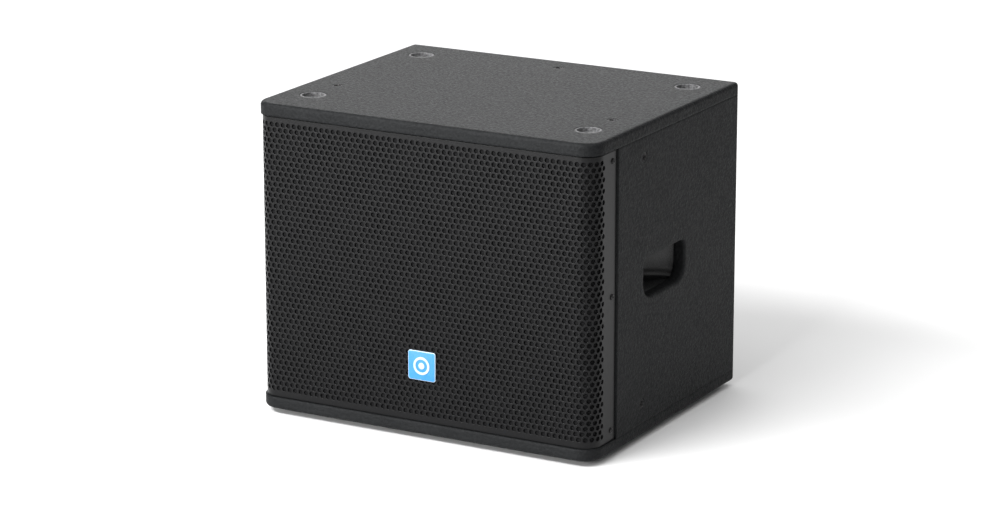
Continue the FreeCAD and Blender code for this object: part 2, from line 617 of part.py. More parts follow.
def stacking_cup(label, x, y):
    """A dish let into the lid that takes the foot of a cabinet on top."""
    inner = "(cup_base + cup_depth)"
    sunk = "(screw_head - screw_shank)"
    corners = [("screw_shank + fit_gap", "0"), (CUP_RADIUS, "0"), (CUP_RADIUS, inner),
               (CUP_BORE, inner), (CUP_BORE, "cup_base"), ("screw_head + fit_gap", "cup_base"),
               ("screw_shank + fit_gap", "(cup_base - %s)" % sunk)]
    finish(turned(label, corners, x, y, "%s - %s" % (TOP, inner)), label)


def cup_screws():
    """Countersunk screws, each flush with the floor of its cup."""
    sunk = "(screw_head - screw_shank)"
    corners = [("0", "-(screw_length)"), ("screw_shank", "-(screw_length - screw_shank)"),
               ("screw_shank", "-" + sunk), ("screw_head", "0"), ("0", "0")]
    pattern = turned("cup_screw_pattern", corners, "0", "0", "0")
    floor = "(%s - cup_depth)" % TOP
    copies("stacking_cup_screws", pattern, [(x, y, floor, "+z") for x, y in CUP_PLACES])


def foot(label, x, y):
    """A tapered rubber foot with a recess for its screw."""
    bore = "(screw_shank + fit_gap)"
    recess = "(screw_head + foot_recess_gap)"
    corners = [(recess, "0"), ("foot_radius - foot_taper", "0"), ("foot_radius", "foot_height"),
               (bore, "foot_height"), (bore, "foot_recess"), (recess, "foot_recess")]
    finish(turned(label, corners, x, y, "0"), label)


def rigging():
    """Brackets inside the corners, plates behind them, and the threaded sleeves that they hold."""
    for level, up in (("top", 1), ("bottom", -1)):
        for name, side in (("left", -1), ("right", 1)):
            bracket("rigging_bracket_%s_%s" % (level, name), side, up)
    half_height = "(cab_height/2 - panel_thick)"
    for level, up in (("top", 1), ("bottom", -1)):
        plate = new_body("rigging_plate_" + level)
        face = "(%s + %d*%s)" % (MID, up, half_height)
        rear = BACK_IN
        shape = rounded("-plate_half", "plate_half", "(%s - plate_length)" % rear, rear,
                        "0", "0", "0", "0")
        pad(plate, "plan", face, "bracket_thick", -up, [shape])
        holes = [("0", RIG_REAR, "sleeve_radius + fit_gap")]
        holes += [(x, y, "screw_shank + fit_gap") for x, y in RIG_PANEL_SCREWS[4:]]
        pocket(plate, "plan", face, "bracket_thick", -up, rings=holes)
    corners = [("sleeve_bore", "-" + SLEEVE_LENGTH), ("sleeve_radius", "-" + SLEEVE_LENGTH),
               ("sleeve_radius", "0"), ("sleeve_bore", "0")]
    pattern = turned("sleeve_pattern", corners, "0", "0", "0")
    places = [(x, y, TOP, "+z") for x, y in RIG_PLACES] + [(x, y, LOW, "-z") for x, y in RIG_PLACES]
    for z in (RIG_LOW, RIG_HIGH):
        places += [("-" + HALF_WIDTH, RIG_Y, z, "-x"), (HALF_WIDTH, RIG_Y, z, "+x")]
    copies("rigging_sleeves", pattern, places)
    pattern = screw("rigging_screw_pattern", "screw_shank", "screw_head", "screw_head_height",
                    "screw_length")
    under = "(%s - bracket_thick)" % INNER_TOP
    above = "(%s + bracket_thick)" % INNER_LOW
    beside = "(%s - bracket_thick)" % INNER_X
    places = [(x, y, under, "-z") for x, y in RIG_PANEL_SCREWS]
    places += [(x, y, above, "+z") for x, y in RIG_PANEL_SCREWS]
    places += [("-" + beside, y, z, "+x") for y, z in RIG_SIDE_SCREWS]
    places += [(beside, y, z, "-x") for y, z in RIG_SIDE_SCREWS]
    copies("rigging_screws", pattern, places)


def bracket(label, side, up):
    """An angle of steel plate in a corner between an end panel and a side panel."""
    def height(drop):
        return "(%s + %d*(cab_height/2 - panel_thick - %s))" % (MID, up, drop)
    far = "(%s - bracket_leg)" % INNER_X
    web = "(%s - bracket_thick)" % INNER_X
    angle = [(INNER_X, height("0")), (far, height("0")), (far, height("bracket_thick")),
             (web, height("bracket_thick")), (web, height("bracket_leg")),
             (INNER_X, height("bracket_leg"))]
    body = new_body(label)
    start = "(%s - bracket_length/2)" % RIG_Y
    pad(body, "front", start, "bracket_length", 1, [mirrored(angle, side)])
    sign = "-" if side < 0 else ""
    holes = [(sign + RIG_X, RIG_Y, "sleeve_radius + fit_gap")]
    holes += [(sign + RIG_X, y, "screw_shank + fit_gap") for y in (RIG_FRONT_SCREW, RIG_REAR_SCREW)]
    pocket(body, "plan", height("0"), "bracket_thick", -up, rings=holes)
    level = RIG_HIGH if up > 0 else RIG_LOW
    holes = [(RIG_Y, level, "sleeve_radius + fit_gap")]
    holes += [(y, level, "screw_shank + fit_gap") for y in (RIG_FRONT_SCREW, RIG_REAR_SCREW)]
    pocket(body, "side", "%d * %s" % (side, INNER_X), "bracket_thick", -side, rings=holes)


# ---------------------------------------------------------------------------
# The driver. Its pieces are turned about its axis: heights run back from the baffle's face.
# ---------------------------------------------------------------------------

def driver_turned(label, corners, depth="0"):
    """A round piece of the driver, `depth` behind the baffle's face."""
    return finish(turned(label, corners, "0", "%s + %s" % (BAFFLE, depth), MID, "+y"), label)


def driver_basket():
    wall = "basket_wall"
    corners = [("basket_radius - %s" % wall, "-flange_thick"), (DRIVER_RADIUS, "-flange_thick"),
               (DRIVER_RADIUS, "0"), ("basket_radius", "0"), ("basket_radius", "basket_skirt"),
               ("shelf_radius + %s" % wall, "shelf_depth + %s" % wall),
               ("neck_radius", "shelf_depth + 2*%s" % wall), ("neck_radius", "neck_depth"),
               (RING_BORE, "neck_depth"), (RING_BORE, "neck_depth - %s" % wall),
               ("neck_radius - %s" % wall, "neck_depth - %s" % wall),
               ("neck_radius - %s" % wall, "shelf_depth"), ("shelf_radius", "shelf_depth"),
               ("basket_radius - %s" % wall, "basket_skirt - %s/2" % wall)]
    body = driver_turned("driver_basket", corners)
    # In the basket's own axes its depth is z, so the windows are cut through its wall along x.
    window = [("-window_half_front", "window_front"), ("window_half_front", "window_front"),
              ("window_half_rear", "shelf_depth - basket_wall"),
              ("-window_half_rear", "shelf_depth - basket_wall")]
    cut = pocket(body, "side", "0", DRIVER_RADIUS, 1, [window])
    pattern = body.newObject("PartDesign::PolarPattern", "driver_basket_windows")
    pattern.Originals = [cut]
    axis = [item for item in body.Origin.OriginFeatures if item.Role == "Z_Axis"][0]
    pattern.Axis = (axis, [""])
    pattern.Angle = 360
    pattern.setExpression("Occurrences", named("window_count"))
    body.Tip = pattern
    doc.recompute()
    pocket(body, "plan", "-flange_thick", "flange_thick", 1, rings=BOLT_HOLES)
    slot = rounded("(strip_offset - slot_half)", "(strip_offset + slot_half)", "slot_front",
                   "slot_rear", "0", "0", "0", "0")
    pocket(body, "front", "0", DRIVER_RADIUS, 1, [slot])


def driver_front():
    """The gasket, the surround's half roll, the cone and the dust cap."""
    lip = "(-flange_thick - landing_thick)"
    outer_end = "(%s + landing_width)" % ROLL_OUTER
    face = "(%s - gasket_thick)" % lip
    bore = "(%s + gasket_gap)" % ROLL_OUTER
    step = "(%s + landing_gap)" % outer_end
    gasket = driver_turned("driver_gasket", [
        (bore, face), (DRIVER_RADIUS, face), (DRIVER_RADIUS, "-flange_thick"), (step, "-flange_thick"),
        (step, lip), (bore, lip)])
    pocket(gasket, "plan", face, "gasket_thick + landing_thick", 1, rings=BOLT_HOLES)
    inner_end = "(%s + rim_gap)" % CONE_RIM
    driver_turned("surround", [
        (inner_end, lip), (ROLL_INNER, lip, ROLL_MIDDLE, lip, 1), (ROLL_OUTER, lip),
        (outer_end, lip), (outer_end, "-flange_thick"), ("%s - roll_thick" % ROLL_OUTER, "-flange_thick"),
        ("%s - roll_thick" % ROLL_OUTER, lip, ROLL_MIDDLE, lip, -1),
        ("%s + roll_thick" % ROLL_INNER, lip), ("%s + roll_thick" % ROLL_INNER, "-flange_thick"),
        (inner_end, "-flange_thick")])
    neck = "(former_radius + former_thick + glue_gap)"
    driver_turned("cone", [
        (neck, "cone_depth"), (CONE_RIM, "-flange_thick"), (ROLL_INNER, "-flange_thick"),
        (ROLL_INNER, "(-flange_thick + rim_thick)"), (inner_end, "(-flange_thick + rim_thick)"),
        (neck, "cone_depth + cone_thick")])
    dome = "((cap_radius^2 + cap_rise^2) / (2*cap_rise))"
    inner = "(%s - cap_thick)" % dome
    edge = "sqrt(%s^2 - cap_radius^2)" % dome
    share = "(%s / %s)" % (inner, dome)
    slope = "((cone_depth + flange_thick) / (%s - %s))" % (CONE_RIM, neck)
    seat = "(cone_depth - (cap_radius - %s) * %s)" % (neck, slope)
    driver_turned("dust_cap", [
        ("0", "-" + dome, "0", "0", 1), ("cap_radius", "-" + edge),
        ("cap_radius * " + share, "-%s * %s" % (edge, share), "0", "0", -1), ("0", "-" + inner)],
        "%s - fit_gap + %s" % (seat, edge))


def driver_motor():
    """The coil on its former, the spider, the magnet and the steel round it."""
    former_out = "(former_radius + former_thick)"
    driver_turned("coil_former", [("former_radius", "former_front"), (former_out, "former_front"),
                                  (former_out, "former_rear"), ("former_radius", "former_rear")])
    wound = "(%s + glue_gap)" % former_out
    driver_turned("voice_coil", [(wound, "coil_front"), (COIL_RADIUS, "coil_front"),
                                 (COIL_RADIUS, "coil_rear"), (wound, "coil_rear")])
    spider(wound)
    driver_turned("top_plate", [
        ("(%s + coil_gap)" % COIL_RADIUS, "neck_depth"), ("magnet_radius - plate_step", "neck_depth"),
        ("magnet_radius - plate_step", MAGNET_FRONT), ("(%s + coil_gap)" % COIL_RADIUS, MAGNET_FRONT)])
    driver_turned("magnet", [(MAGNET_BORE, MAGNET_FRONT), ("magnet_radius", MAGNET_FRONT),
                             ("magnet_radius", MAGNET_REAR), (MAGNET_BORE, MAGNET_REAR)])
    pole = "(former_radius - coil_gap)"
    driver_turned("pole_yoke", [
        ("vent_radius", "neck_depth - pole_rise"), (pole, "neck_depth - pole_rise"), (pole, MAGNET_REAR),
        ("yoke_radius", MAGNET_REAR), ("yoke_radius", YOKE_REAR), ("vent_radius", YOKE_REAR)])


def spider(inner_radius):
    """The corrugated disc that centres the coil: two waves between its flat edges."""
    outer = "shelf_radius - spider_gap"
    start = "(%s + spider_landing)" % inner_radius
    end = "(neck_radius - basket_wall)"
    waves = (-1, 1, -1, 1)
    step = "((%s - %s) / %d)" % (end, start, len(waves) + 1)
    base = "shelf_depth - spider_thick"
    front = [(inner_radius, base), (start, base)]
    for number, wave in enumerate(waves, start=1):
        front.append(("(%s + %d*%s)" % (start, number, step), "(%s + %d*spider_wave)" % (base, wave)))
    front += [(end, base), (outer, base)]
    back = [(x, "(%s + spider_thick)" % z) for x, z in reversed(front)]
    driver_turned("spider", front + back)


def terminal_strip():
    """A moulded strip on the basket's neck, with a tongue through the slot."""
    left = "(strip_offset - strip_half)"
    front = "(%s + slot_front - strip_margin)" % BAFFLE
    base = block("strip_base", left, front, "%s - neck_radius - strip_drop" % MID,
                 "2*strip_half", "slot_rear - slot_front + 2*strip_margin", "strip_drop + strip_seat")
    neck = doc.addObject("Part::Cylinder", "strip_hollow")
    neck.setExpression("Radius", named("neck_radius + glue_gap"))
    neck.setExpression("Height", named("3*neck_depth"))
    place(neck, "0", BAFFLE, MID, "+y")
    curved = doc.addObject("Part::Cut", "strip_curved")
    curved.Base = base
    curved.Tool = neck
    tongue = block("strip_tongue", "(strip_offset - slot_half + fit_gap)",
                   "(%s + slot_front + fit_gap)" % BAFFLE, "%s - neck_radius - strip_drop/2" % MID,
                   "2*(slot_half - fit_gap)", "slot_rear - slot_front - 2*fit_gap",
                   "strip_drop/2 + basket_wall + tongue_rise")
    strip = doc.addObject("Part::Fuse", "terminal_strip")
    strip.Base = curved
    strip.Tool = tongue
    finish(strip, "terminal_strip")


def driver_fixings():
    """Eight bolts through gasket and flange, and the tee nuts behind the baffle."""
    bolt = screw("driver_bolt_pattern", "bolt_shank", "bolt_head", "bolt_head_height", "bolt_length")
    face = "(%s - flange_thick - landing_thick - gasket_thick)" % BAFFLE
    copies("driver_bolts", bolt, [(x, face, z, "-y") for x, z in BOLTS])
    bore = "(bolt_shank + fit_gap)"
    tee = turned("tee_nut_pattern", [
        (bore, "-tee_barrel"), ("barrel_radius", "-tee_barrel"), ("barrel_radius", "0"),
        ("tee_radius", "0"), ("tee_radius", "tee_thick"), (bore, "tee_thick")], "0", "0", "0")
    rear = "(%s + panel_thick)" % BAFFLE
    copies("driver_tee_nuts", tee, [(x, rear, z, "+y") for x, z in BOLTS])


def port_tube(label, x):
    """A reflex port: a flanged tube let into the baffle."""
    outer = "(port_radius + port_wall)"
    corners = [("port_radius", "-port_wall"), (PORT_FLANGE, "-port_wall"), (PORT_FLANGE, "0"),
               (outer, "0"), (outer, "port_length"), ("port_radius", "port_length")]
    finish(turned(label, corners, x, BAFFLE, PORT_Z, "+y"), label)


# ---------------------------------------------------------------------------
# Connectors, wiring and lining
# ---------------------------------------------------------------------------

def connector_plate():
    body = new_body("connector_plate")
    low = "(%s - conn_height/2)" % CONN_Z
    shape = rounded("-conn_width/2", "conn_width/2", low, "(%s + conn_height)" % low,
                    *["conn_radius"] * 4)
    pad(body, "front", BACK_OUT, "conn_thick", 1, [shape])
    holes = [(x, CONN_Z, SOCKET_RADIUS + " + fit_gap") for x in ("-socket_spread", "socket_spread")]
    holes += [(x, z, "screw_shank + fit_gap") for x, z in CONN_SCREWS]
    pocket(body, "front", CONN_FACE, "conn_thick", -1, rings=holes)


def socket(label, x):
    """A round locking speaker socket: a barrel round a core, open to the rear."""
    corners = [("0", "-(socket_depth)"), (SOCKET_RADIUS, "-(socket_depth)"),
               (SOCKET_RADIUS, "-socket_flange_thick"), (SOCKET_FLANGE, "-socket_flange_thick"),
               (SOCKET_FLANGE, "0"), ("socket_bore", "0"),
               ("socket_bore", "-(socket_depth - socket_floor)"),
               ("socket_core", "-(socket_depth - socket_floor)"), ("socket_core", "-core_recess"),
               ("0", "-core_recess")]
    face = "(%s + socket_flange_thick)" % CONN_FACE
    finish(turned(label, corners, x, face, CONN_Z, "+y"), label)


def socket_contacts():
    """Four strips on each core, and the two solder tabs behind each socket."""
    strip = block("contact_pattern", "-contact_width/2", "socket_core", "-contact_length",
                  "contact_width", "contact_thick", "contact_length")
    tab = block("tab_pattern", "-contact_thick/2", "-contact_width/2", "0",
                "contact_thick", "contact_width", "tab_length")
    links = []
    face = "(%s + socket_flange_thick - contact_recess)" % CONN_FACE
    for x in ("-socket_spread", "socket_spread"):
        for quarter in range(4):
            holder = doc.addObject("App::Link", "contact_copy")
            holder.LinkedObject = strip
            turn_about = FreeCAD.Rotation(FreeCAD.Vector(0, 0, 1), 45 + 90 * quarter)
            holder.LinkTransform = True
            place(holder, x, face, CONN_Z, "+y")
            spot = FreeCAD.Placement(holder.Placement.Base, FACING["+y"].multiply(turn_about))
            holder.Placement = spot
            links.append(holder)
        for offset in ("-tab_spread", "tab_spread"):
            link = doc.addObject("App::Link", "tab_copy")
            link.LinkedObject = tab
            link.LinkTransform = True
            place(link, "%s + %s" % (x, offset), SOCKET_BACK, CONN_Z, "-y")
            links.append(link)
    group = doc.addObject("Part::Compound", "socket_contacts")
    group.Links = links
    doc.recompute()
    finish(group, "socket_contacts")


def wire(label, across):
    """A wire in an upright plane: forward from a socket's tab, then up to the terminal strip."""
    body = new_body(label)
    start = "(%s - tab_length)" % SOCKET_BACK
    end = "(%s + (slot_front + slot_rear)/2)" % BAFFLE
    top = "(%s - neck_radius - strip_drop)" % MID
    path = body.newObject("Sketcher::SketchObject", label + "_path")
    plane = [item for item in body.Origin.OriginFeatures if item.Role == "YZ_Plane"][0]
    path.AttachmentSupport = (plane, [""])
    path.MapMode = "FlatFace"
    path.setExpression("AttachmentOffset.Base.z", named(across))
    bend_y = "(%s + wire_bend)" % end
    bend_z = "(%s + wire_bend)" % CONN_Z
    points = [(start, CONN_Z), (bend_y, CONN_Z), (end, bend_z), (end, top)]
    spots = [FreeCAD.Vector(value(y), value(z), 0) for y, z in points]
    path.addGeometry(Part.LineSegment(spots[0], spots[1]))
    add_arc(path, spots[1], spots[2], FreeCAD.Vector(value(bend_y), value(bend_z), 0), -1)
    path.addGeometry(Part.LineSegment(spots[2], spots[3]))
    path.addConstraint(Sketcher.Constraint("Coincident", 0, 2, 1, 2))
    path.addConstraint(Sketcher.Constraint("Coincident", 1, 1, 2, 1))
    fix_point(path, 0, 1, start, CONN_Z)
    fix_point(path, 0, 2, bend_y, CONN_Z)
    fix_point(path, 1, 3, bend_y, None)
    fix_point(path, 2, 1, end, bend_z)
    fix_point(path, 2, 2, end, top)
    section = new_sketch(body, "front", start, rings=[(across, CONN_Z, "wire_radius")])
    pipe = body.newObject("PartDesign::AdditivePipe", label + "_pipe")
    pipe.Profile = section
    pipe.Spine = (path, ["Edge1", "Edge2", "Edge3"])
    doc.recompute()


def tinsel_leads():
    """Two slack braids from the strip's tongue to the coil's former, behind the spider."""
    leads = []
    depth_out = value("(slot_front + slot_rear)/2")
    depth_in = value("shelf_depth + spider_wave + lead_gap")
    start_z = -value("neck_radius - basket_wall - tongue_rise - glue_gap*10")
    for x in (value("strip_offset - tab_spread"), value("strip_offset + tab_spread")):
        reach = value("former_radius + former_thick") + value("glue_gap")
        end_z = -math.sqrt(reach ** 2 - x ** 2) - value("2*coil_gap")
        start = FreeCAD.Vector(x, depth_out, start_z)
        end = FreeCAD.Vector(x, depth_in, end_z)
        middle = (start + end) * 0.5 + FreeCAD.Vector(0, value("lead_slack"), 0)
        path = Part.Wire([Part.Arc(start, middle, end).toShape()])
        tangent = path.Edges[0].tangentAt(path.Edges[0].FirstParameter)
        circle = Part.Wire([Part.makeCircle(value("lead_radius"), start, tangent)])
        leads.append(path.makePipeShell([circle], True, True))
    feature = doc.addObject("Part::Feature", "tinsel_leads")
    feature.Shape = Part.makeCompound(leads)
    place(feature, "0", BAFFLE, MID)
    finish(feature, "tinsel_leads")


def damping_pads():
    """Wadding on the side walls, behind the handles."""
    front = "(%s + %s + flange_margin + pad_gap_front)" % (HANDLE_Y, POCKET_HALF)
    length = "(%s - pad_gap_rear - %s)" % (BACK_IN, front)
    height = "(cab_height - 2*panel_thick - 2*pad_margin)"
    low = "(%s + pad_margin)" % INNER_LOW
    pads = [block("pad_left", "-" + INNER_X, front, low, "pad_thick", length, height),
            block("pad_right", "%s - pad_thick" % INNER_X, front, low, "pad_thick", length, height)]
    group = doc.addObject("Part::Compound", "damping_pads")
    group.Links = pads
    finish(group, "damping_pads")


# ---------------------------------------------------------------------------
# The whole cabinet
# ---------------------------------------------------------------------------

top_panel()
bottom_panel()
side_panel("side_panel_left", -1)
side_panel("side_panel_right", 1)
front_baffle()
back_panel()
cross_brace()

grille()
grille_foam()
badge()
handle_cup("handle_cup_left", -1)
handle_cup("handle_cup_right", 1)

wood_screw = screw("wood_screw_pattern", "screw_shank", "screw_head", "screw_head_height", "screw_length")
grille_places = []
for level in GRILLE_SCREW_HEIGHTS:
    grille_places += [("-" + GRILLE_X, SCREW_Y, level, "-x"), (GRILLE_X, SCREW_Y, level, "+x")]
grille_screw = screw("grille_screw_pattern", "screw_shank", "screw_head", "screw_head_height",
                     "grille_screw_length")
copies("grille_screws", grille_screw, grille_places)
handle_face = "(%s - pocket_wall)" % INNER_X
handle_places = [("-" + handle_face, y, z, "+x") for y, z in HANDLE_SCREWS]
handle_places += [(handle_face, y, z, "-x") for y, z in HANDLE_SCREWS]
copies("handle_screws", wood_screw, handle_places)

CORNER_NAMES = ["front_left", "front_right", "rear_left", "rear_right"]
for corner_name, (cup_x, cup_y) in zip(CORNER_NAMES, CUP_PLACES):
    stacking_cup("stacking_cup_" + corner_name, cup_x, cup_y)
cup_screws()
for corner_name, (foot_x, foot_y) in zip(CORNER_NAMES, CUP_PLACES):
    foot("foot_" + corner_name, foot_x, foot_y)
foot_screw = screw("foot_screw_pattern", "screw_shank", "screw_head", "screw_head_height",
                   "(foot_screw_length + foot_height - foot_recess)")
copies("foot_screws", foot_screw, [(x, y, "foot_recess", "-z") for x, y in CUP_PLACES])
rigging()

driver_basket()
driver_front()
driver_motor()
terminal_strip()
tinsel_leads()
driver_fixings()
port_tube("port_tube_left", "-" + PORT_X)
port_tube("port_tube_right", PORT_X)

connector_plate()
socket("input_socket", "-socket_spread")
socket("link_socket", "socket_spread")
socket_contacts()
copies("connector_plate_screws", wood_screw, [(x, CONN_FACE, z, "+y") for x, z in CONN_SCREWS])
wire("wire_red", "(strip_offset + wire_offset + tab_spread)")
wire("wire_black", "(strip_offset + wire_offset - tab_spread)")
damping_pads()

# ---------------------------------------------------------------------------
# Checks, and one file for each sub-part
# ---------------------------------------------------------------------------

doc.recompute()
for item in doc.Objects:
    if "Invalid" in item.State or "Error" in item.State:
        raise RuntimeError("%s did not compute: %s" % (item.Label, item.State))
for part in subparts:
    if part.Shape.isNull() or not part.Shape.isValid() or not part.Shape.Solids:
        raise RuntimeError("%s has no sound shape" % part.Label)

os.makedirs("parts", exist_ok=True)
for part in subparts:
    part.Shape.exportStep("parts/%s.step" % part.Label)
    print("%-28s %2d solids %10.0f mm3" % (part.Label, len(part.Shape.Solids), part.Shape.Volume))
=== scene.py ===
import json
import math

import bmesh
import bpy
import numpy as np
from bpy.props import FloatProperty, FloatVectorProperty, IntProperty, PointerProperty
from mathutils import Matrix, Vector


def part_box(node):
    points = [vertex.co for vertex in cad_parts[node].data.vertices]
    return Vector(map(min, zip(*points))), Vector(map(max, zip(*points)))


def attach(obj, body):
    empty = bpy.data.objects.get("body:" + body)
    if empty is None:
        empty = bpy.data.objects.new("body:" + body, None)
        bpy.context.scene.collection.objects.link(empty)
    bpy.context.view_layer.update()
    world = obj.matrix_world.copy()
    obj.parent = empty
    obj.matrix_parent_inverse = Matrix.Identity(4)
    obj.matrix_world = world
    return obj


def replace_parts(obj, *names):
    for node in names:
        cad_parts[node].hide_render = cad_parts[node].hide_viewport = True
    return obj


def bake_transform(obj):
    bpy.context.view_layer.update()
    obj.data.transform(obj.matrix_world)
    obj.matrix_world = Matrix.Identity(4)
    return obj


bl_info = {
    "name": "PA speaker cabinet",
    "version": (1, 0, 0),
    "blender": (4, 5, 0),
    "location": "View3D > Sidebar > Cabinet",
    "description": "Dresses the frame of a compact bass cabinet: grille, fittings, finishes and studio",
    "category": "Object",
}

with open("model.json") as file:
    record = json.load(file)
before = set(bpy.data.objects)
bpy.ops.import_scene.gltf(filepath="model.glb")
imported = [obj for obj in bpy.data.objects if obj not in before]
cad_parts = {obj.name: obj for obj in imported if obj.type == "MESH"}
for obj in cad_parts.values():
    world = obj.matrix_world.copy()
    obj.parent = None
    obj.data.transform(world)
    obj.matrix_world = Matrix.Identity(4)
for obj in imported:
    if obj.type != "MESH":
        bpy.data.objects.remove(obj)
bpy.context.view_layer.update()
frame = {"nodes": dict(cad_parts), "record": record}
NODES = frame["nodes"]
MOUNTS = {mount["name"]: mount for mount in frame["record"]["mounts"]}
MM = 0.001


# ---------------------------------------------------------------------------
# Colour and material helpers
# ---------------------------------------------------------------------------

def linear(hex_colour):
    """An sRGB hex colour as linear red, green, blue and a full alpha."""
    parts = [int(hex_colour[i:i + 2], 16) / 255 for i in (1, 3, 5)]
    return tuple(p / 12.92 if p <= 0.04045 else ((p + 0.055) / 1.055) ** 2.4 for p in parts) + (1.0,)


def node(tree, kind, settings=None, links=None):
    """Add one shader node, set its properties and sockets, and link its inputs."""
    made = tree.nodes.new(kind)
    for name, value in (settings or {}).items():
        if name.startswith("in:"):
            key = name[3:]
            made.inputs[int(key) if key.isdigit() else key].default_value = value
        else:
            setattr(made, name, value)
    for name, source in (links or {}).items():
        tree.links.new(source, made.inputs[int(name) if name.isdigit() else name])
    return made


def new_material(name):
    """An empty material with its output, and object coordinates in metres."""
    material = bpy.data.materials.new(name)
    material.use_nodes = True
    tree = material.node_tree
    tree.nodes.clear()
    place = node(tree, "ShaderNodeTexCoord").outputs["Object"]
    return material, tree, place


def close(tree, shader):
    node(tree, "ShaderNodeOutputMaterial", links={"Surface": shader.outputs[0]})


def ramp(tree, factor, low, high, dark, light):
    """Blend from `dark` to `light` as the factor runs from low to high."""
    made = node(tree, "ShaderNodeValToRGB", links={"Fac": factor})
    made.color_ramp.elements[0].position = low
    made.color_ramp.elements[0].color = dark
    made.color_ramp.elements[1].position = high
    made.color_ramp.elements[1].color = light
    return made.outputs["Color"]


def grey(value):
    return (value, value, value, 1.0)


# ---------------------------------------------------------------------------
# Materials. Each starts from what the real one is and how its surface was made.
# ---------------------------------------------------------------------------

def sprayed_texture_paint():
    """Water-based textured cabinet paint, sprayed in a coarse and a fine coat over plywood: a hard
    black skin of small rounded bumps that breaks a highlight into grains. The real bumps are about
    2 mm apart; the coarse ones here are 3.4 mm, so that they still show from a few metres."""
    colours = bpy.context.scene.cabinet_colours
    material, tree, place = new_material("Textured cabinet paint, sprayed")
    coarse = node(tree, "ShaderNodeTexNoise", {"in:Scale": 1 / (3.4 * MM), "in:Detail": 3.0,
                                               "in:Roughness": 0.6}, {"Vector": place})
    fine = node(tree, "ShaderNodeTexVoronoi", {"in:Scale": 1 / (1.6 * MM), "feature": "SMOOTH_F1"},
                {"Vector": place})
    cloud = node(tree, "ShaderNodeTexNoise", {"in:Scale": 1 / (60 * MM), "in:Detail": 3.0}, {"Vector": place})
    grains = node(tree, "ShaderNodeMath", {"operation": "MULTIPLY", "in:1": 0.35},
                  {"0": fine.outputs["Distance"]})
    height = node(tree, "ShaderNodeMath", {"operation": "SUBTRACT"},
                  {"0": coarse.outputs["Fac"], "1": grains.outputs[0]})
    edge = node(tree, "ShaderNodeBevel", {"samples": 6, "in:Radius": 4.5 * MM})
    bump = node(tree, "ShaderNodeBump", {"in:Strength": 0.9, "in:Distance": 0.9 * MM},
                {"Height": height.outputs[0], "Normal": edge.outputs[0]})
    tint = ramp(tree, cloud.outputs["Fac"], 0.3, 0.7, tuple(colours.paint_deep) + (1.0,),
                tuple(colours.paint) + (1.0,))
    speck = ramp(tree, coarse.outputs["Fac"], 0.35, 0.7, grey(0.7), grey(1.2))
    colour = node(tree, "ShaderNodeMix", {"data_type": "RGBA", "blend_type": "MULTIPLY",
                                          "in:Factor": 1.0}, {"6": tint, "7": speck})
    gloss = ramp(tree, coarse.outputs["Fac"], 0.35, 0.7, grey(0.62), grey(0.48))
    shader = node(tree, "ShaderNodeBsdfPrincipled", {"in:IOR": 1.5, "in:Specular IOR Level": 0.1},
                  {"Base Color": colour.outputs["Result"], "Roughness": gloss, "Normal": bump.outputs[0]})
    close(tree, shader)
    return material


def birch_plywood():
    """Raw birch plywood, sawn: pale brown with long grain, 4 mm between its figure lines."""
    material, tree, place = new_material("Birch plywood, sawn")
    stretch = node(tree, "ShaderNodeMapping", {"in:Scale": (1 / (4 * MM), 1 / (4 * MM), 1 / (60 * MM))},
                   {"Vector": place})
    grain = node(tree, "ShaderNodeTexNoise", {"in:Scale": 1.0, "in:Detail": 4.0},
                 {"Vector": stretch.outputs[0]})
    colour = ramp(tree, grain.outputs["Fac"], 0.3, 0.7, linear("#a07c50"), linear("#c8a676"))
    bump = node(tree, "ShaderNodeBump", {"in:Strength": 0.2, "in:Distance": 0.2 * MM},
                {"Height": grain.outputs["Fac"]})
    close(tree, node(tree, "ShaderNodeBsdfPrincipled", {"in:Roughness": 0.7},
                     {"Base Color": colour, "Normal": bump.outputs[0]}))
    return material


def powder_coated_steel(name="Grille steel, powder coated", colour="#0c0c0d", gloss=0.28):
    """Punched mild steel under baked polyester powder: an even black skin with a slight orange peel,
    0.8 mm across. The powder rounds every punched edge, so each hole's lower rim catches a glint."""
    material, tree, place = new_material(name)
    peel = node(tree, "ShaderNodeTexNoise", {"in:Scale": 1 / (0.8 * MM), "in:Detail": 1.0}, {"Vector": place})
    edge = node(tree, "ShaderNodeBevel", {"samples": 6, "in:Radius": 0.8 * MM})
    bump = node(tree, "ShaderNodeBump", {"in:Strength": 0.25, "in:Distance": 0.12 * MM},
                {"Height": peel.outputs["Fac"], "Normal": edge.outputs[0]})
    tone = ramp(tree, peel.outputs["Fac"], 0.3, 0.7, tuple(c * 0.8 for c in linear(colour)[:3]) + (1.0,),
                linear(colour))
    close(tree, node(tree, "ShaderNodeBsdfPrincipled", {"in:Roughness": gloss, "in:Specular IOR Level": 0.17},
                     {"Base Color": tone, "Normal": bump.outputs[0]}))
    return material


def open_cell_foam():
    """Reticulated polyurethane foam, about 30 pores to the inch: a dull black that swallows light."""
    material, tree, place = new_material("Acoustic foam, open cell")
    pores = node(tree, "ShaderNodeTexVoronoi", {"in:Scale": 1 / (0.9 * MM)}, {"Vector": place})
    colour = ramp(tree, pores.outputs["Distance"], 0.1, 0.7, linear("#070708"), linear("#111112"))
    bump = node(tree, "ShaderNodeBump", {"in:Strength": 0.8, "in:Distance": 0.5 * MM},
                {"Height": pores.outputs["Distance"]})
    close(tree, node(tree, "ShaderNodeBsdfPrincipled", {"in:Roughness": 0.95, "in:Specular IOR Level": 0.2},
                     {"Base Color": colour, "Normal": bump.outputs[0]}))
    return material


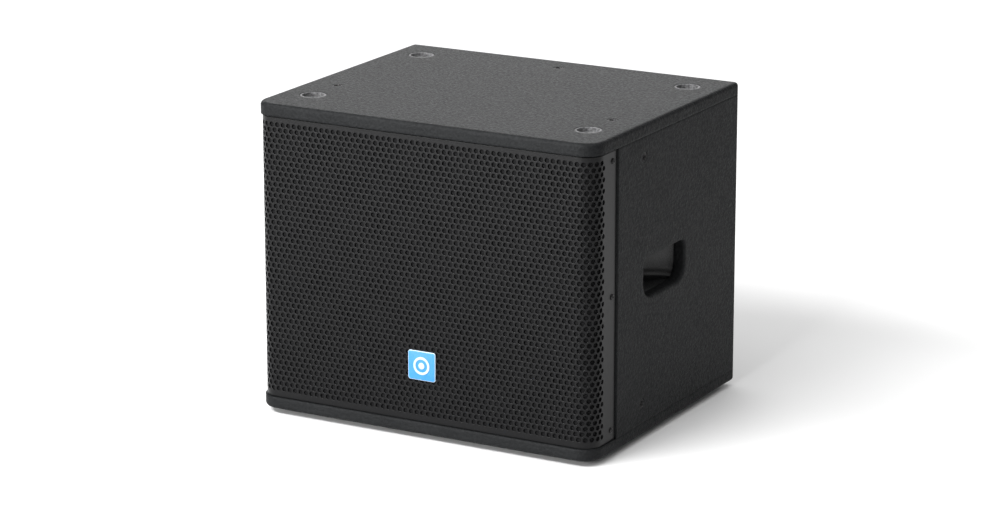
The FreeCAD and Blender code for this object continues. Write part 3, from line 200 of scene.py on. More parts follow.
def moulded_abs():
    """Injection-moulded ABS with a spark-eroded grain of 0.5 mm: black, with a broad soft sheen."""
    material, tree, place = new_material("ABS, moulded with a fine grain")
    grain = node(tree, "ShaderNodeTexNoise", {"in:Scale": 1 / (0.5 * MM), "in:Detail": 2.0},
                 {"Vector": place})
    colour = ramp(tree, grain.outputs["Fac"], 0.3, 0.7, linear("#1a1a1b"), linear("#232425"))
    gloss = ramp(tree, grain.outputs["Fac"], 0.3, 0.7, grey(0.24), grey(0.34))
    bump = node(tree, "ShaderNodeBump", {"in:Strength": 0.18, "in:Distance": 0.08 * MM},
                {"Height": grain.outputs["Fac"]})
    close(tree, node(tree, "ShaderNodeBsdfPrincipled", {"in:IOR": 1.53, "in:Specular IOR Level": 0.35},
                     {"Base Color": colour, "Roughness": gloss, "Normal": bump.outputs[0]}))
    return material


def abs_painted_reflection():
    """Moulded black ABS with dull light grey patches about 3 mm across: a painted reflection of the front
    lamps on the far wall of each cup, so that the wall of each cup stands out from the lid."""
    material, tree, place = new_material("ABS, moulded, grey with painted reflection")
    painted_reflection_patches = node(tree, "ShaderNodeTexNoise", {"in:Scale": 1 / (3.0 * MM), "in:Detail": 4.0},
                 {"Vector": place})
    # Painted reflection: the light grey over the black stands in for the front lamps mirrored in the cup.
    colour = ramp(tree, painted_reflection_patches.outputs["Fac"], 0.35, 0.65, linear("#3a3a3b"), linear("#6a6a6b"))
    close(tree, node(tree, "ShaderNodeBsdfPrincipled", {"in:Roughness": 0.5, "in:Specular IOR Level": 0.2},
                     {"Base Color": colour}))
    return material


def moulded_rubber():
    """Compression-moulded natural rubber: nearly black, dusty and matt."""
    material, tree, place = new_material("Rubber, moulded")
    dust = node(tree, "ShaderNodeTexNoise", {"in:Scale": 1 / (6 * MM), "in:Detail": 5.0}, {"Vector": place})
    colour = ramp(tree, dust.outputs["Fac"], 0.35, 0.75, linear("#171717"), linear("#2b2a29"))
    bump = node(tree, "ShaderNodeBump", {"in:Strength": 0.2, "in:Distance": 0.1 * MM},
                {"Height": dust.outputs["Fac"]})
    close(tree, node(tree, "ShaderNodeBsdfPrincipled", {"in:Roughness": 0.78},
                     {"Base Color": colour, "Normal": bump.outputs[0]}))
    return material


def blackened_steel():
    """Turned steel with a black oxide finish: dark, with a dull metal edge light."""
    material, tree, place = new_material("Steel, black oxide")
    wear = node(tree, "ShaderNodeTexNoise", {"in:Scale": 1 / (1.5 * MM), "in:Detail": 4.0}, {"Vector": place})
    colour = ramp(tree, wear.outputs["Fac"], 0.45, 0.8, linear("#1f1f21"), linear("#5a5957"))
    close(tree, node(tree, "ShaderNodeBsdfPrincipled", {"in:Metallic": 0.8, "in:Roughness": 0.42},
                     {"Base Color": colour}))
    return material


def zinc_plated_steel():
    """Turned steel with bright zinc plating: light grey, with fine lathe marks 0.4 mm apart."""
    material, tree, place = new_material("Steel, zinc plated")
    marks = node(tree, "ShaderNodeTexNoise", {"in:Scale": 1 / (0.4 * MM), "in:Detail": 2.0},
                 {"Vector": place})
    patina = node(tree, "ShaderNodeTexNoise", {"in:Scale": 1 / (5 * MM), "in:Detail": 3.0}, {"Vector": place})
    colour = ramp(tree, patina.outputs["Fac"], 0.3, 0.7, linear("#8f9396"), linear("#c3c6c8"))
    gloss = ramp(tree, marks.outputs["Fac"], 0.3, 0.7, grey(0.28), grey(0.42))
    close(tree, node(tree, "ShaderNodeBsdfPrincipled", {"in:Metallic": 1.0},
                     {"Base Color": colour, "Roughness": gloss}))
    return material


def moulded_badge(name, colour):
    """Glossy injection-moulded acrylic with a clear top: bright and even, with faint flow marks."""
    material, tree, place = new_material(name)
    flow = node(tree, "ShaderNodeTexNoise", {"in:Scale": 1 / (14 * MM), "in:Detail": 2.0}, {"Vector": place})
    shade = ramp(tree, flow.outputs["Fac"], 0.3, 0.7, tuple(c * 0.92 for c in colour[:3]) + (1.0,),
                 tuple(colour[:3]) + (1.0,))
    close(tree, node(tree, "ShaderNodeBsdfPrincipled",
                     {"in:Roughness": 0.3, "in:IOR": 1.49, "in:Coat Weight": 0.4, "in:Coat Roughness": 0.08},
                     {"Base Color": shade}))
    return material


def pressed_paper():
    """Felted paper pulp, dyed black and pressed: matt, with fibres about 2 mm long."""
    material, tree, place = new_material("Paper pulp, pressed")
    fibre = node(tree, "ShaderNodeTexNoise", {"in:Scale": 1 / (2 * MM), "in:Detail": 6.0,
                                              "in:Distortion": 1.5}, {"Vector": place})
    colour = ramp(tree, fibre.outputs["Fac"], 0.3, 0.7, linear("#19191a"), linear("#323234"))
    bump = node(tree, "ShaderNodeBump", {"in:Strength": 0.4, "in:Distance": 0.2 * MM},
                {"Height": fibre.outputs["Fac"]})
    close(tree, node(tree, "ShaderNodeBsdfPrincipled", {"in:Roughness": 0.85},
                     {"Base Color": colour, "Normal": bump.outputs[0]}))
    return material


def woven_cloth(name, dark, light, thread):
    """Plain-woven cotton stiffened with resin: threads cross at `thread`, with a slight sheen."""
    material, tree, place = new_material(name)
    across = node(tree, "ShaderNodeTexWave", {"in:Scale": 1 / (thread * 20), "bands_direction": "X"},
                  {"Vector": place})
    along = node(tree, "ShaderNodeTexWave", {"in:Scale": 1 / (thread * 20), "bands_direction": "Z"},
                 {"Vector": place})
    weave = node(tree, "ShaderNodeMath", {"operation": "MAXIMUM"},
                 {"0": across.outputs["Fac"], "1": along.outputs["Fac"]})
    colour = ramp(tree, weave.outputs[0], 0.2, 0.9, linear(dark), linear(light))
    bump = node(tree, "ShaderNodeBump", {"in:Strength": 0.4, "in:Distance": 0.2 * MM},
                {"Height": weave.outputs[0]})
    close(tree, node(tree, "ShaderNodeBsdfPrincipled", {"in:Roughness": 0.8, "in:Sheen Weight": 0.15},
                     {"Base Color": colour, "Normal": bump.outputs[0]}))
    return material


def rolled_metal(name, dark, light, gloss):
    """Rolled or drawn metal: fine lines 0.3 mm apart along one way, and a clear reflection."""
    material, tree, place = new_material(name)
    stretch = node(tree, "ShaderNodeMapping", {"in:Scale": (1 / (0.3 * MM), 1 / (8 * MM), 1 / (0.3 * MM))},
                   {"Vector": place})
    lines = node(tree, "ShaderNodeTexNoise", {"in:Scale": 1.0, "in:Detail": 2.0},
                 {"Vector": stretch.outputs[0]})
    colour = ramp(tree, lines.outputs["Fac"], 0.3, 0.7, linear(dark), linear(light))
    close(tree, node(tree, "ShaderNodeBsdfPrincipled", {"in:Metallic": 1.0, "in:Roughness": gloss},
                     {"Base Color": colour}))
    return material


def ground_ferrite():
    """Sintered ferrite, ground flat: charcoal grey with a granular, dry surface."""
    material, tree, place = new_material("Ferrite, ground")
    grit = node(tree, "ShaderNodeTexNoise", {"in:Scale": 1 / (0.7 * MM), "in:Detail": 4.0}, {"Vector": place})
    colour = ramp(tree, grit.outputs["Fac"], 0.3, 0.7, linear("#2b2b2e"), linear("#45454a"))
    close(tree, node(tree, "ShaderNodeBsdfPrincipled", {"in:Roughness": 0.6}, {"Base Color": colour}))
    return material


def extruded_pvc(name, dark, light):
    """Extruded PVC wire sleeve: an even colour with a waxy shine."""
    material, tree, place = new_material(name)
    mottle = node(tree, "ShaderNodeTexNoise", {"in:Scale": 1 / (9 * MM), "in:Detail": 2.0}, {"Vector": place})
    colour = ramp(tree, mottle.outputs["Fac"], 0.3, 0.7, linear(dark), linear(light))
    close(tree, node(tree, "ShaderNodeBsdfPrincipled", {"in:Roughness": 0.38}, {"Base Color": colour}))
    return material


def bonded_wadding():
    """Bonded polyester wadding: white curly fibres, 3 mm between tufts, soft and rough."""
    material, tree, place = new_material("Polyester wadding, bonded")
    tuft = node(tree, "ShaderNodeTexNoise", {"in:Scale": 1 / (3 * MM), "in:Detail": 6.0,
                                             "in:Distortion": 2.0}, {"Vector": place})
    colour = ramp(tree, tuft.outputs["Fac"], 0.3, 0.7, linear("#b9b7b0"), linear("#e6e4de"))
    bump = node(tree, "ShaderNodeBump", {"in:Strength": 0.9, "in:Distance": 1.0 * MM},
                {"Height": tuft.outputs["Fac"]})
    close(tree, node(tree, "ShaderNodeBsdfPrincipled", {"in:Roughness": 0.95, "in:Sheen Weight": 0.3},
                     {"Base Color": colour, "Normal": bump.outputs[0]}))
    return material


MAKERS = {
    "cabinet_paint": sprayed_texture_paint,
    "bare_ply": birch_plywood,
    "grille_steel": powder_coated_steel,
    "foam": open_cell_foam,
    "badge_blue": lambda: moulded_badge("Acrylic, moulded blue", bpy.context.scene.cabinet_colours.badge),
    "badge_white": lambda: moulded_badge("Acrylic, moulded white", linear("#a9bccb")),
    "black_abs": moulded_abs,
    # Grey ABS with a painted reflection, for the stacking cups.
    "abs_painted_reflection": abs_painted_reflection,
    "black_rubber": moulded_rubber,
    "black_screw": blackened_steel,
    "zinc_steel": zinc_plated_steel,
    "basket_paint": lambda: powder_coated_steel("Steel, stove enamelled", "#161617", 0.36),
    "cone_paper": pressed_paper,
    "treated_cloth": lambda: woven_cloth("Cotton surround, doped", "#151516", "#2a2a2b", 0.7 * MM),
    "spider_cloth": lambda: woven_cloth("Cotton spider, resin treated", "#8a672f", "#c49a55", 0.9 * MM),
    "former_alu": lambda: rolled_metal("Aluminium foil, rolled", "#b4b6b8", "#d6d8da", 0.3),
    "copper_wire": lambda: rolled_metal("Copper, drawn and enamelled", "#9c5428", "#cf7f45", 0.3),
    "magnet_ferrite": ground_ferrite,
    "socket_plastic": moulded_abs,
    "contact_brass": lambda: rolled_metal("Brass, plated", "#b08f4a", "#dcc07a", 0.25),
    "wire_red_pvc": lambda: extruded_pvc("PVC sleeve, red", "#8f1512", "#b3201b"),
    "wire_black_pvc": lambda: extruded_pvc("PVC sleeve, black", "#141414", "#1f1f1f"),
    "wadding": bonded_wadding,
}
_made = {}


def finish_of(slot_name):
    """The material of one of the record's slots, made once."""
    if slot_name not in _made:
        _made[slot_name] = MAKERS[slot_name]()
    return _made[slot_name]


# ---------------------------------------------------------------------------
# Mesh helpers
# ---------------------------------------------------------------------------

def mesh_object(name, points, faces, slot_name, sharp_deg=35.0):
    """A mesh with smooth shading inside its sharp edges, dressed in its slot's material."""
    mesh = bpy.data.meshes.new(name)
    mesh.from_pydata([tuple(p) for p in points], [], faces)
    piece = bpy.data.objects.new(name, mesh)
    bpy.context.scene.collection.objects.link(piece)
    work = bmesh.new()
    work.from_mesh(mesh)
    bmesh.ops.remove_doubles(work, verts=work.verts, dist=1e-6)
    bmesh.ops.recalc_face_normals(work, faces=work.faces)
    for face in work.faces:
        face.smooth = True
    for edge in work.edges:
        edge.smooth = not (edge.is_manifold and edge.calc_face_angle(0) > math.radians(sharp_deg))
    work.to_mesh(mesh)
    work.free()
    mesh.materials.append(finish_of(slot_name))
    return piece


def joined(name, pieces):
    """Several meshes as one piece, named `name`."""
    first = pieces[0]
    if len(pieces) > 1:
        with bpy.context.temp_override(active_object=first, object=first,
                                       selected_objects=pieces, selected_editable_objects=pieces):
            bpy.ops.object.join()
    first.name = name
    first.data.name = name
    return first


def toward(axis):
    """The turn that lays a piece's own +Z along an axis."""
    return Vector((0, 0, 1)).rotation_difference(Vector(axis)).to_matrix()


def soften(profile, radius, steps=3):
    """Round every inner corner of an open profile of (radius, height) points."""
    rounded = [profile[0]]
    for before, corner, after in zip(profile, profile[1:], profile[2:]):
        before, corner, after = (np.array(p, float) for p in (before, corner, after))
        into, out = before - corner, after - corner
        reach = min(radius, 0.45 * np.linalg.norm(into), 0.45 * np.linalg.norm(out))
        start = corner + into / np.linalg.norm(into) * reach
        end = corner + out / np.linalg.norm(out) * reach
        for step in range(steps + 1):
            t = step / steps
            rounded.append(tuple((1 - t) ** 2 * start + 2 * t * (1 - t) * corner + t ** 2 * end))
    return rounded + [profile[-1]]


def turned(name, profile, centre, axis, slot_name, segments=64, sharp_deg=40.0):
    """A piece turned about an axis from (radius, height) points, heights running along the axis."""
    turn = toward(axis)
    centre = Vector(centre)
    points, rings = [], []
    for radius, height in profile:
        if radius < 1e-7:
            rings.append([len(points)])
            points.append(centre + turn @ Vector((0, 0, height)))
            continue
        rings.append(list(range(len(points), len(points) + segments)))
        for step in range(segments):
            angle = 2 * math.pi * step / segments
            spot = Vector((radius * math.cos(angle), radius * math.sin(angle), height))
            points.append(centre + turn @ spot)
    faces = []
    for low, high in zip(rings, rings[1:]):
        for step in range(segments):
            after = (step + 1) % segments
            if len(low) == 1:
                faces.append((low[0], high[after], high[step]))
            elif len(high) == 1:
                faces.append((low[step], low[after], high[0]))
            else:
                faces.append((low[step], low[after], high[after], high[step]))
    return mesh_object(name, points, faces, slot_name, sharp_deg)


def rounded_square(half_wide, half_high, radius, steps=6):
    """Points of an upright rectangle with round corners, anticlockwise."""
    points = []
    for quarter, (x, y) in enumerate(((1, 1), (-1, 1), (-1, -1), (1, -1))):
        for step in range(steps + 1):
            angle = math.radians(90) * (quarter + step / steps)
            points.append((x * (half_wide - radius) + radius * math.cos(angle),
                           y * (half_high - radius) + radius * math.sin(angle)))
    return points


def slab(name, half_wide, half_high, radius, back, front, bevel, centre, slot_name):
    """A flat plate with round corners and bevelled front edges, facing -Y."""
    layers = [(0.0, back)]
    for step in range(4):
        angle = math.radians(90) * step / 3
        layers.append((bevel * (1 - math.cos(angle)), front + bevel * (1 - math.sin(angle))))
    points, rings = [], []
    for inset, y in layers:
        shape = rounded_square(half_wide - inset, half_high - inset, max(radius - inset, 0.2 * MM))
        rings.append(list(range(len(points), len(points) + len(shape))))
        points += [Vector((centre[0] + x, y, centre[1] + z)) for x, z in shape]
    faces = [tuple(rings[0]), tuple(rings[-1])]
    for low, high in zip(rings, rings[1:]):
        count = len(low)
        faces += [(low[i], low[(i + 1) % count], high[(i + 1) % count], high[i]) for i in range(count)]
    return mesh_object(name, points, faces, slot_name, 50.0)


def solids_of(node_name):
    """The box of each separate solid in a CAD node, as (lowest corner, highest corner)."""
    mesh = NODES[node_name].data
    keys = {}
    owner = []
    for vertex in mesh.vertices:
        key = tuple(round(c * 1e5) for c in vertex.co)
        owner.append(keys.setdefault(key, len(keys)))
    parent = list(range(len(keys)))

    def root(i):
        while parent[i] != i:
            parent[i] = parent[parent[i]]
            i = parent[i]
        return i
    for polygon in mesh.polygons:
        first = root(owner[polygon.vertices[0]])
        for vertex in polygon.vertices[1:]:
            parent[root(owner[vertex])] = first
    groups = {}
    for vertex in mesh.vertices:
        groups.setdefault(root(owner[vertex.index]), []).append(vertex.co)
    boxes = []
    for spots in groups.values():
        spots = np.array([tuple(s) for s in spots])
        boxes.append((Vector(spots.min(0)), Vector(spots.max(0))))
    return sorted(boxes, key=lambda pair: tuple(round(c, 4) for c in pair[0]))


def middle(pair):
    return (pair[0] + pair[1]) / 2


# ---------------------------------------------------------------------------
# The grille
# ---------------------------------------------------------------------------

def along_profile(across, depth, half_front, radius, front, centre_y):
    """The place in plan of a point `across` the unrolled sheet and `depth` behind its face.
    The sheet runs flat across the front, round both corners and back along the sides."""
    bend = (radius - 0.75 * MM) * math.pi / 2
    side = 1 if across >= 0 else -1
    distance = abs(across)
    if distance <= half_front:
        return side * distance, front + depth
    if distance <= half_front + bend:
        angle = (distance - half_front) / bend * math.pi / 2
        reach = radius - depth
        return side * (half_front + reach * math.sin(angle)), centre_y - reach * math.cos(angle)
    return side * (half_front + radius - depth), centre_y + distance - half_front - bend


def perforated_cell(builder, u, v, pitch, rise, hole, thick):
    """One round hole in a brick of the sheet: its face and its wall."""
    edge = [(0.5, 0), (0.5, 0.5), (0.25, 0.5), (0, 0.5), (-0.25, 0.5), (-0.5, 0.5),
            (-0.5, 0), (-0.5, -0.5), (-0.25, -0.5), (0, -0.5), (0.25, -0.5), (0.5, -0.5)]
    count = len(edge)
    outer = [builder.point(u + x * pitch, v + y * rise, 0) for x, y in edge]
    angles = [2 * math.pi * i / count for i in range(count)]
    inner = [builder.point(u + hole * math.cos(a), v + hole * math.sin(a), 0) for a in angles]
    deep = [builder.point(u + hole * math.cos(a), v + hole * math.sin(a), thick) for a in angles]
    for i in range(count):
        j = (i + 1) % count
        builder.faces.append((inner[i], outer[i], outer[j], inner[j]))
        builder.faces.append((inner[j], deep[j], deep[i], inner[i]))


class SheetBuilder:
    """Collects the points and faces of the unrolled sheet, merging points that meet."""

    def __init__(self):
        self.index = {}
        self.points = []
        self.faces = []

    def point(self, u, v, depth):
        key = (round(u * 1e6), round(v * 1e6), round(depth * 1e6))
        if key not in self.index:
            self.index[key] = len(self.points)
            self.points.append((u, v, depth))
        return self.index[key]

    def patch(self, columns, rows, depth):
        """Quads between lists of places across and up."""
        for left, right in zip(columns, columns[1:]):
            for low, high in zip(rows, rows[1:]):
                corners = ((left, low), (right, low), (right, high), (left, high))
                self.faces.append(tuple(self.point(u, v, depth) for u, v in corners))

    def rim(self, path, thick):
        """The cut edge of the sheet along a path of (across, up) points."""
        for (u, v), (u2, v2) in zip(path, path[1:]):
            self.faces.append((self.point(u, v, 0), self.point(u2, v2, 0),
                               self.point(u2, v2, thick), self.point(u, v, thick)))


def even(start, end, step):
    """Places from start to end, as near to `step` apart as fits evenly."""
    count = max(1, round((end - start) / step))
    return [start + (end - start) * i / count for i in range(count + 1)]


class CABINET_OT_grille(bpy.types.Operator):
    """Make the punched steel grille that wraps round both front corners"""
    bl_idname = "cabinet.grille"
    bl_label = "Grille"

    def execute(self, context):
        sizes = context.scene.cabinet_sizes
        low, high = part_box("grille")
        thick, radius = sizes.sheet, sizes.grille_radius
        half_front = high.x - radius
        centre_y = low.y + radius
        bend = (radius - 0.75 * MM) * math.pi / 2
        end = half_front + bend + high.y - centre_y
        reach = end - sizes.plain_side
        pitch, rise = sizes.pitch, sizes.pitch * math.sqrt(3) / 2
        columns = int(2 * reach / pitch)
        rows = int((high.z - low.z - sizes.plain_top - sizes.plain_low) / rise)
        base = low.z + (high.z - low.z - sizes.plain_top + sizes.plain_low - rows * rise) / 2
        edge = columns * pitch / 2
        sheet = SheetBuilder()
        for row in range(rows):
            v = base + (row + 0.5) * rise
            shift = (row % 2) * pitch / 2
            for column in range(columns - row % 2):
                perforated_cell(sheet, -edge + (column + 0.5) * pitch + shift, v, pitch, rise,
                                sizes.hole / 2, thick)
            if row % 2:
                for side in (-1, 1):
                    half = [(edge, -0.5), (edge, 0), (edge, 0.5), (edge - pitch / 4, 0.5),
                            (edge - pitch / 2, 0.5), (edge - pitch / 2, 0), (edge - pitch / 2, -0.5),
                            (edge - pitch / 4, -0.5)]
                    sheet.faces.append(tuple(sheet.point(side * u, v + y * rise, 0) for u, y in half))
        top = base + rows * rise
        fine = [-edge + i * pitch / 4 for i in range(columns * 4 + 1)]
        sheet.patch(fine, [low.z, base], 0)
        sheet.patch(fine, [top, high.z], 0)
        levels = [low.z] + [base + i * rise / 2 for i in range(rows * 2 + 1)] + [high.z]
        for side in (-1, 1):
            margin = [side * u for u in even(edge, end, 4 * MM)]
            sheet.patch(margin, levels, 0)
            sheet.rim([(side * end, v) for v in levels], thick)
        whole = [-u for u in reversed(even(edge, end, 4 * MM))][:-1] + fine + even(edge, end, 4 * MM)[1:]
        sheet.rim([(u, high.z) for u in whole], thick)
        sheet.rim([(u, low.z) for u in whole], thick)
        points = []
        for u, v, depth in sheet.points:
            x, y = along_profile(u, depth, half_front, radius, low.y, centre_y)
            points.append((x, y, v))
        piece = mesh_object("grille_sheet", points, sheet.faces, "grille_steel", 35.0)
        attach(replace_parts(piece, "grille"), "cabinet")
        return {"FINISHED"}


class CABINET_OT_foam(bpy.types.Operator):
    """Make the foam sheet that lies behind the grille"""
    bl_idname = "cabinet.foam"
    bl_label = "Foam"

    def execute(self, context):
        sizes = context.scene.cabinet_sizes
        low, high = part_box("grille_foam")
        radius = sizes.grille_radius - sizes.sheet
        half_front = high.x - radius
        centre_y = low.y + radius
        bend = (radius - 0.75 * MM) * math.pi / 2
        end = half_front + bend + high.y - centre_y
        thick = sizes.foam
        sheet = SheetBuilder()
        across = even(-end, end, 8 * MM)
        levels = even(low.z, high.z, 9 * MM)
        sheet.patch(across, levels, 0)
        sheet.patch(across, levels, thick)
        for v in (low.z, high.z):
            sheet.rim([(u, v) for u in across], thick)
        for u in (-end, end):
            sheet.rim([(u, v) for v in levels], thick)
        points = []
        for u, v, depth in sheet.points:
            # The foam puffs a little between its rows of glue dots, 40 mm apart.
            puff = 0.25 * MM * math.sin(u / (40 * MM) * math.pi) * math.sin(v / (40 * MM) * math.pi)
            set_back = depth + (0.3 * MM + puff if depth < thick / 2 else -abs(puff))
            x, y = along_profile(u, set_back, half_front, radius, low.y, centre_y)
            points.append((x, y, v))
        piece = mesh_object("foam_sheet", points, sheet.faces, "foam", 50.0)
        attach(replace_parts(piece, "grille_foam"), "cabinet")
        return {"FINISHED"}


class CABINET_OT_badge(bpy.types.Operator):
    """Make the square badge: a pale frame, a blue field and a ring with a dot"""
    bl_idname = "cabinet.badge"
    bl_label = "Badge"

    def execute(self, context):
        sizes = context.scene.cabinet_sizes
        low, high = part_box("badge_plate")
        centre = (middle((low, high)).x, middle((low, high)).z)
        half_wide, half_high = (high.x - low.x) / 2, (high.z - low.z) / 2
        rim = slab("badge_frame", half_wide, half_high, 3 * MM, high.y, low.y + 0.25 * MM, 0.5 * MM,
                   centre, "badge_white")
        field = slab("badge_field", half_wide - sizes.badge_rim, half_high - sizes.badge_rim, 2.4 * MM,
                     high.y, low.y, 0.25 * MM, centre, "badge_blue")
        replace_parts(rim, "badge_plate")
        emblem_low, emblem_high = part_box("badge_emblem")
        radius = (emblem_high.x - emblem_low.x) / 2
        spot = (centre[0], low.y, middle((emblem_low, emblem_high)).z)
        thick = low.y - emblem_low.y
        hollow = radius - 3 * MM
        ring = soften([(hollow, 0), (hollow, thick), (radius, thick), (radius, 0)], 0.2 * MM)
        dot = soften([(0, thick), (4 * MM, thick), (4 * MM, 0)], 0.2 * MM)
        mark = joined("badge_mark", [turned("ring", ring, spot, (0, -1, 0), "badge_white"),
                                     turned("dot", dot, spot, (0, -1, 0), "badge_white")])
        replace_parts(mark, "badge_emblem")
        for piece in (rim, field, mark):
            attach(piece, "cabinet")
        return {"FINISHED"}


# ---------------------------------------------------------------------------
# Screws, cups, feet and flying points
# ---------------------------------------------------------------------------

def cross_head(name, spot, axis, radius, height, shank, length, slot_name, domed=True):
    """A cross-recessed screw: the head's seat is at `spot`, and the shank runs against the axis."""
    top = height if domed else 0.0
    segments = 32
    profile = [(radius * r, top * (1 - 0.55 * r ** 3)) for r in (0.22, 0.4, 0.6, 0.8, 0.93, 1.0)]
    if not domed:
        profile = [(radius * r, 0.0) for r in (0.22, 0.4, 0.7, 0.95, 1.0)]
        profile += [(shank, -(radius - shank))]
    else:
        profile += [(radius, 0.0), (shank, 0.0)]
    profile += [(shank, -length + shank), (0, -length)]
    head = turned(name, profile, spot, axis, slot_name, segments)
    turn = toward(axis)
    arm, half, depth = radius * 0.62, radius * 0.13, max(0.55 * height, 0.9 * MM)
    outline = [(arm, -half), (arm, half), (half, half), (half, arm), (-half, arm), (-half, half),
               (-arm, half), (-arm, -half), (-half, -half), (-half, -arm), (half, -arm), (half, -half)]
    face_level = top * 0.98 + 0.02 * MM
    upper = [Vector((x, y, face_level)) for x, y in outline]
    lower = [Vector((x * 0.6, y * 0.6, face_level - depth)) for x, y in outline]
    tool_points = [Vector(spot) + turn @ p for p in
                   [Vector((p.x, p.y, face_level + depth)) for p in upper] + upper + lower]
    count = len(outline)
    faces = [tuple(range(count))[::-1], tuple(range(2 * count, 3 * count))]
    for start in (0, count):
        faces += [(start + i, start + (i + 1) % count, start + count + (i + 1) % count, start + count + i)
                  for i in range(count)]
    cutter = mesh_object(name + "_cutter", tool_points, faces, slot_name)
    fill_pole(head)
    cut = head.modifiers.new("recess", "BOOLEAN")
    cut.operation = "DIFFERENCE"
    cut.object = cutter
    with bpy.context.temp_override(active_object=head, object=head, selected_objects=[head]):
        bpy.ops.object.modifier_apply(modifier="recess")
    bpy.data.objects.remove(cutter)
    return head


def fill_pole(piece):
    """Close the open ring at a turned piece's crown."""
    work = bmesh.new()
    work.from_mesh(piece.data)
    open_edges = [edge for edge in work.edges if edge.is_boundary]
    if open_edges:
        bmesh.ops.contextual_create(work, geom=open_edges)
    bmesh.ops.recalc_face_normals(work, faces=work.faces)
    work.to_mesh(piece.data)
    work.free()


def screw_group(name, node_name, slot_name, domed=True):
    """Screws with cross recesses in place of a CAD node's plain ones. The head is the thick end."""
    pieces = []
    for number, (low, high) in enumerate(solids_of(node_name)):
        size = high - low
        lie = max(range(3), key=lambda i: size[i])
        outward = outward_of(node_name, middle((low, high)), lie)
        axis = Vector((0, 0, 0))
        axis[lie] = outward
        radius = (size[(lie + 1) % 3] + size[(lie + 2) % 3]) / 4
        spot = middle((low, high))
        height = 1.8 * MM if domed else 0.0
        spot[lie] = (high if outward > 0 else low)[lie] - outward * height
        pieces.append(cross_head("%s_%d" % (name, number), spot, axis, radius, height, 1.7 * MM,
                                 size[lie] - height, slot_name, domed))
    piece = joined(name, pieces)
    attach(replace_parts(piece, node_name), "cabinet")
    return piece


def outward_of(node_name, spot, lie):
    """Which way the heads of a group of screws face along their axis."""
    if node_name == "grille_screws":
        return 1 if spot[lie] > 0 else -1
    if node_name == "foot_screws":
        return -1
    return 1


class CABINET_OT_screws(bpy.types.Operator):
    """Make the screws that show, with cross recesses"""
    bl_idname = "cabinet.screws"
    bl_label = "Screws"

    def execute(self, context):
        screw_group("grille_screw_heads", "grille_screws", "black_screw")
        screw_group("connector_screw_heads", "connector_plate_screws", "black_screw")
        screw_group("foot_screw_heads", "foot_screws", "zinc_steel")
        screw_group("cup_screw_heads", "stacking_cup_screws", "black_screw", domed=False)
        return {"FINISHED"}


CORNERS = ("front_left", "front_right", "rear_left", "rear_right")


class CABINET_OT_cups(bpy.types.Operator):
    """Make the round stacking cups that are let into the lid"""
    bl_idname = "cabinet.cups"
    bl_label = "Stacking cups"

    def execute(self, context):
        for corner in CORNERS:
            low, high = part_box("stacking_cup_" + corner)
            radius = (high.x - low.x) / 2
            bore = MOUNTS["stacking_cup_" + corner]["dims"]["r_mm"] * MM
            depth = MOUNTS["stacking_cup_" + corner]["dims"]["length_mm"] * MM
            floor = high.z - low.z - depth
            profile = [(radius, 0), (radius, floor + depth), (bore, floor + depth), (bore, floor),
                       (bore * 0.72, floor), (bore * 0.7, floor + 0.5 * MM), (bore * 0.6, floor + 0.5 * MM),
                       (bore * 0.58, floor), (3.8 * MM, floor), (1.9 * MM, floor - 1.9 * MM), (1.9 * MM, 0),
                       (radius, 0)]
            spot = (middle((low, high)).x, middle((low, high)).y, low.z)
            piece = turned("cup_" + corner, soften(profile, 0.5 * MM), spot, (0, 0, 1), "black_abs", 72)
            # The cups wear grey ABS whose grey is a painted reflection of the front lamps.
            piece.data.materials[0] = finish_of("abs_painted_reflection")
            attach(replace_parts(piece, "stacking_cup_" + corner), "cabinet")
        return {"FINISHED"}


class CABINET_OT_feet(bpy.types.Operator):
    """Make the four rubber feet"""
    bl_idname = "cabinet.feet"
    bl_label = "Feet"

    def execute(self, context):
        for corner in CORNERS:
            low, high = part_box("foot_" + corner)
            radius = (high.x - low.x) / 2
            top = high.z - low.z
            profile = [(1.9 * MM, 3.4 * MM), (5.6 * MM, 3.4 * MM), (5.6 * MM, 0), (radius - 1.0 * MM, 0),
                       (radius, top), (1.9 * MM, top), (1.9 * MM, 3.4 * MM)]
            spot = (middle((low, high)).x, middle((low, high)).y, low.z)
            piece = turned("rubber_foot_" + corner, soften(profile, 0.9 * MM), spot, (0, 0, 1),
                           "black_rubber", 64)
            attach(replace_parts(piece, "foot_" + corner), "cabinet")
        return {"FINISHED"}


class CABINET_OT_sleeves(bpy.types.Operator):
    """Make the threaded sleeves of the flying points"""
    bl_idname = "cabinet.sleeves"
    bl_label = "Flying points"

    def execute(self, context):
        sizes = context.scene.cabinet_sizes
        pieces = []
        for name, mount in sorted(MOUNTS.items()):
            if mount["kind"] != "threaded_hole":
                continue
            bore, length = mount["dims"]["r_mm"] * MM, mount["dims"]["length_mm"] * MM
            outer = sizes.sleeve
            profile = [(bore + 0.6 * MM, -0.25 * MM)]
            turns = int(length / sizes.thread) - 2
            for step in range(turns):
                level = -1.2 * MM - step * sizes.thread
                profile += [(bore, level), (bore + 0.45 * MM, level - sizes.thread / 2)]
            profile += [(bore, -length + 0.6 * MM), (bore + 0.4 * MM, -length), (outer - 0.3 * MM, -length),
                        (outer, -length + 0.3 * MM), (outer, -0.3 * MM), (outer - 0.3 * MM, 0),
                        (bore + 0.8 * MM, 0), (bore + 0.6 * MM, -0.25 * MM)]
            pieces.append(turned(name, profile, mount["pos_m"], mount["axis"], "black_screw", 40, 25.0))
        piece = joined("threaded_sleeves", pieces)
        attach(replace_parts(piece, "rigging_sleeves"), "cabinet")
        return {"FINISHED"}


# ---------------------------------------------------------------------------
# Handles
# ---------------------------------------------------------------------------

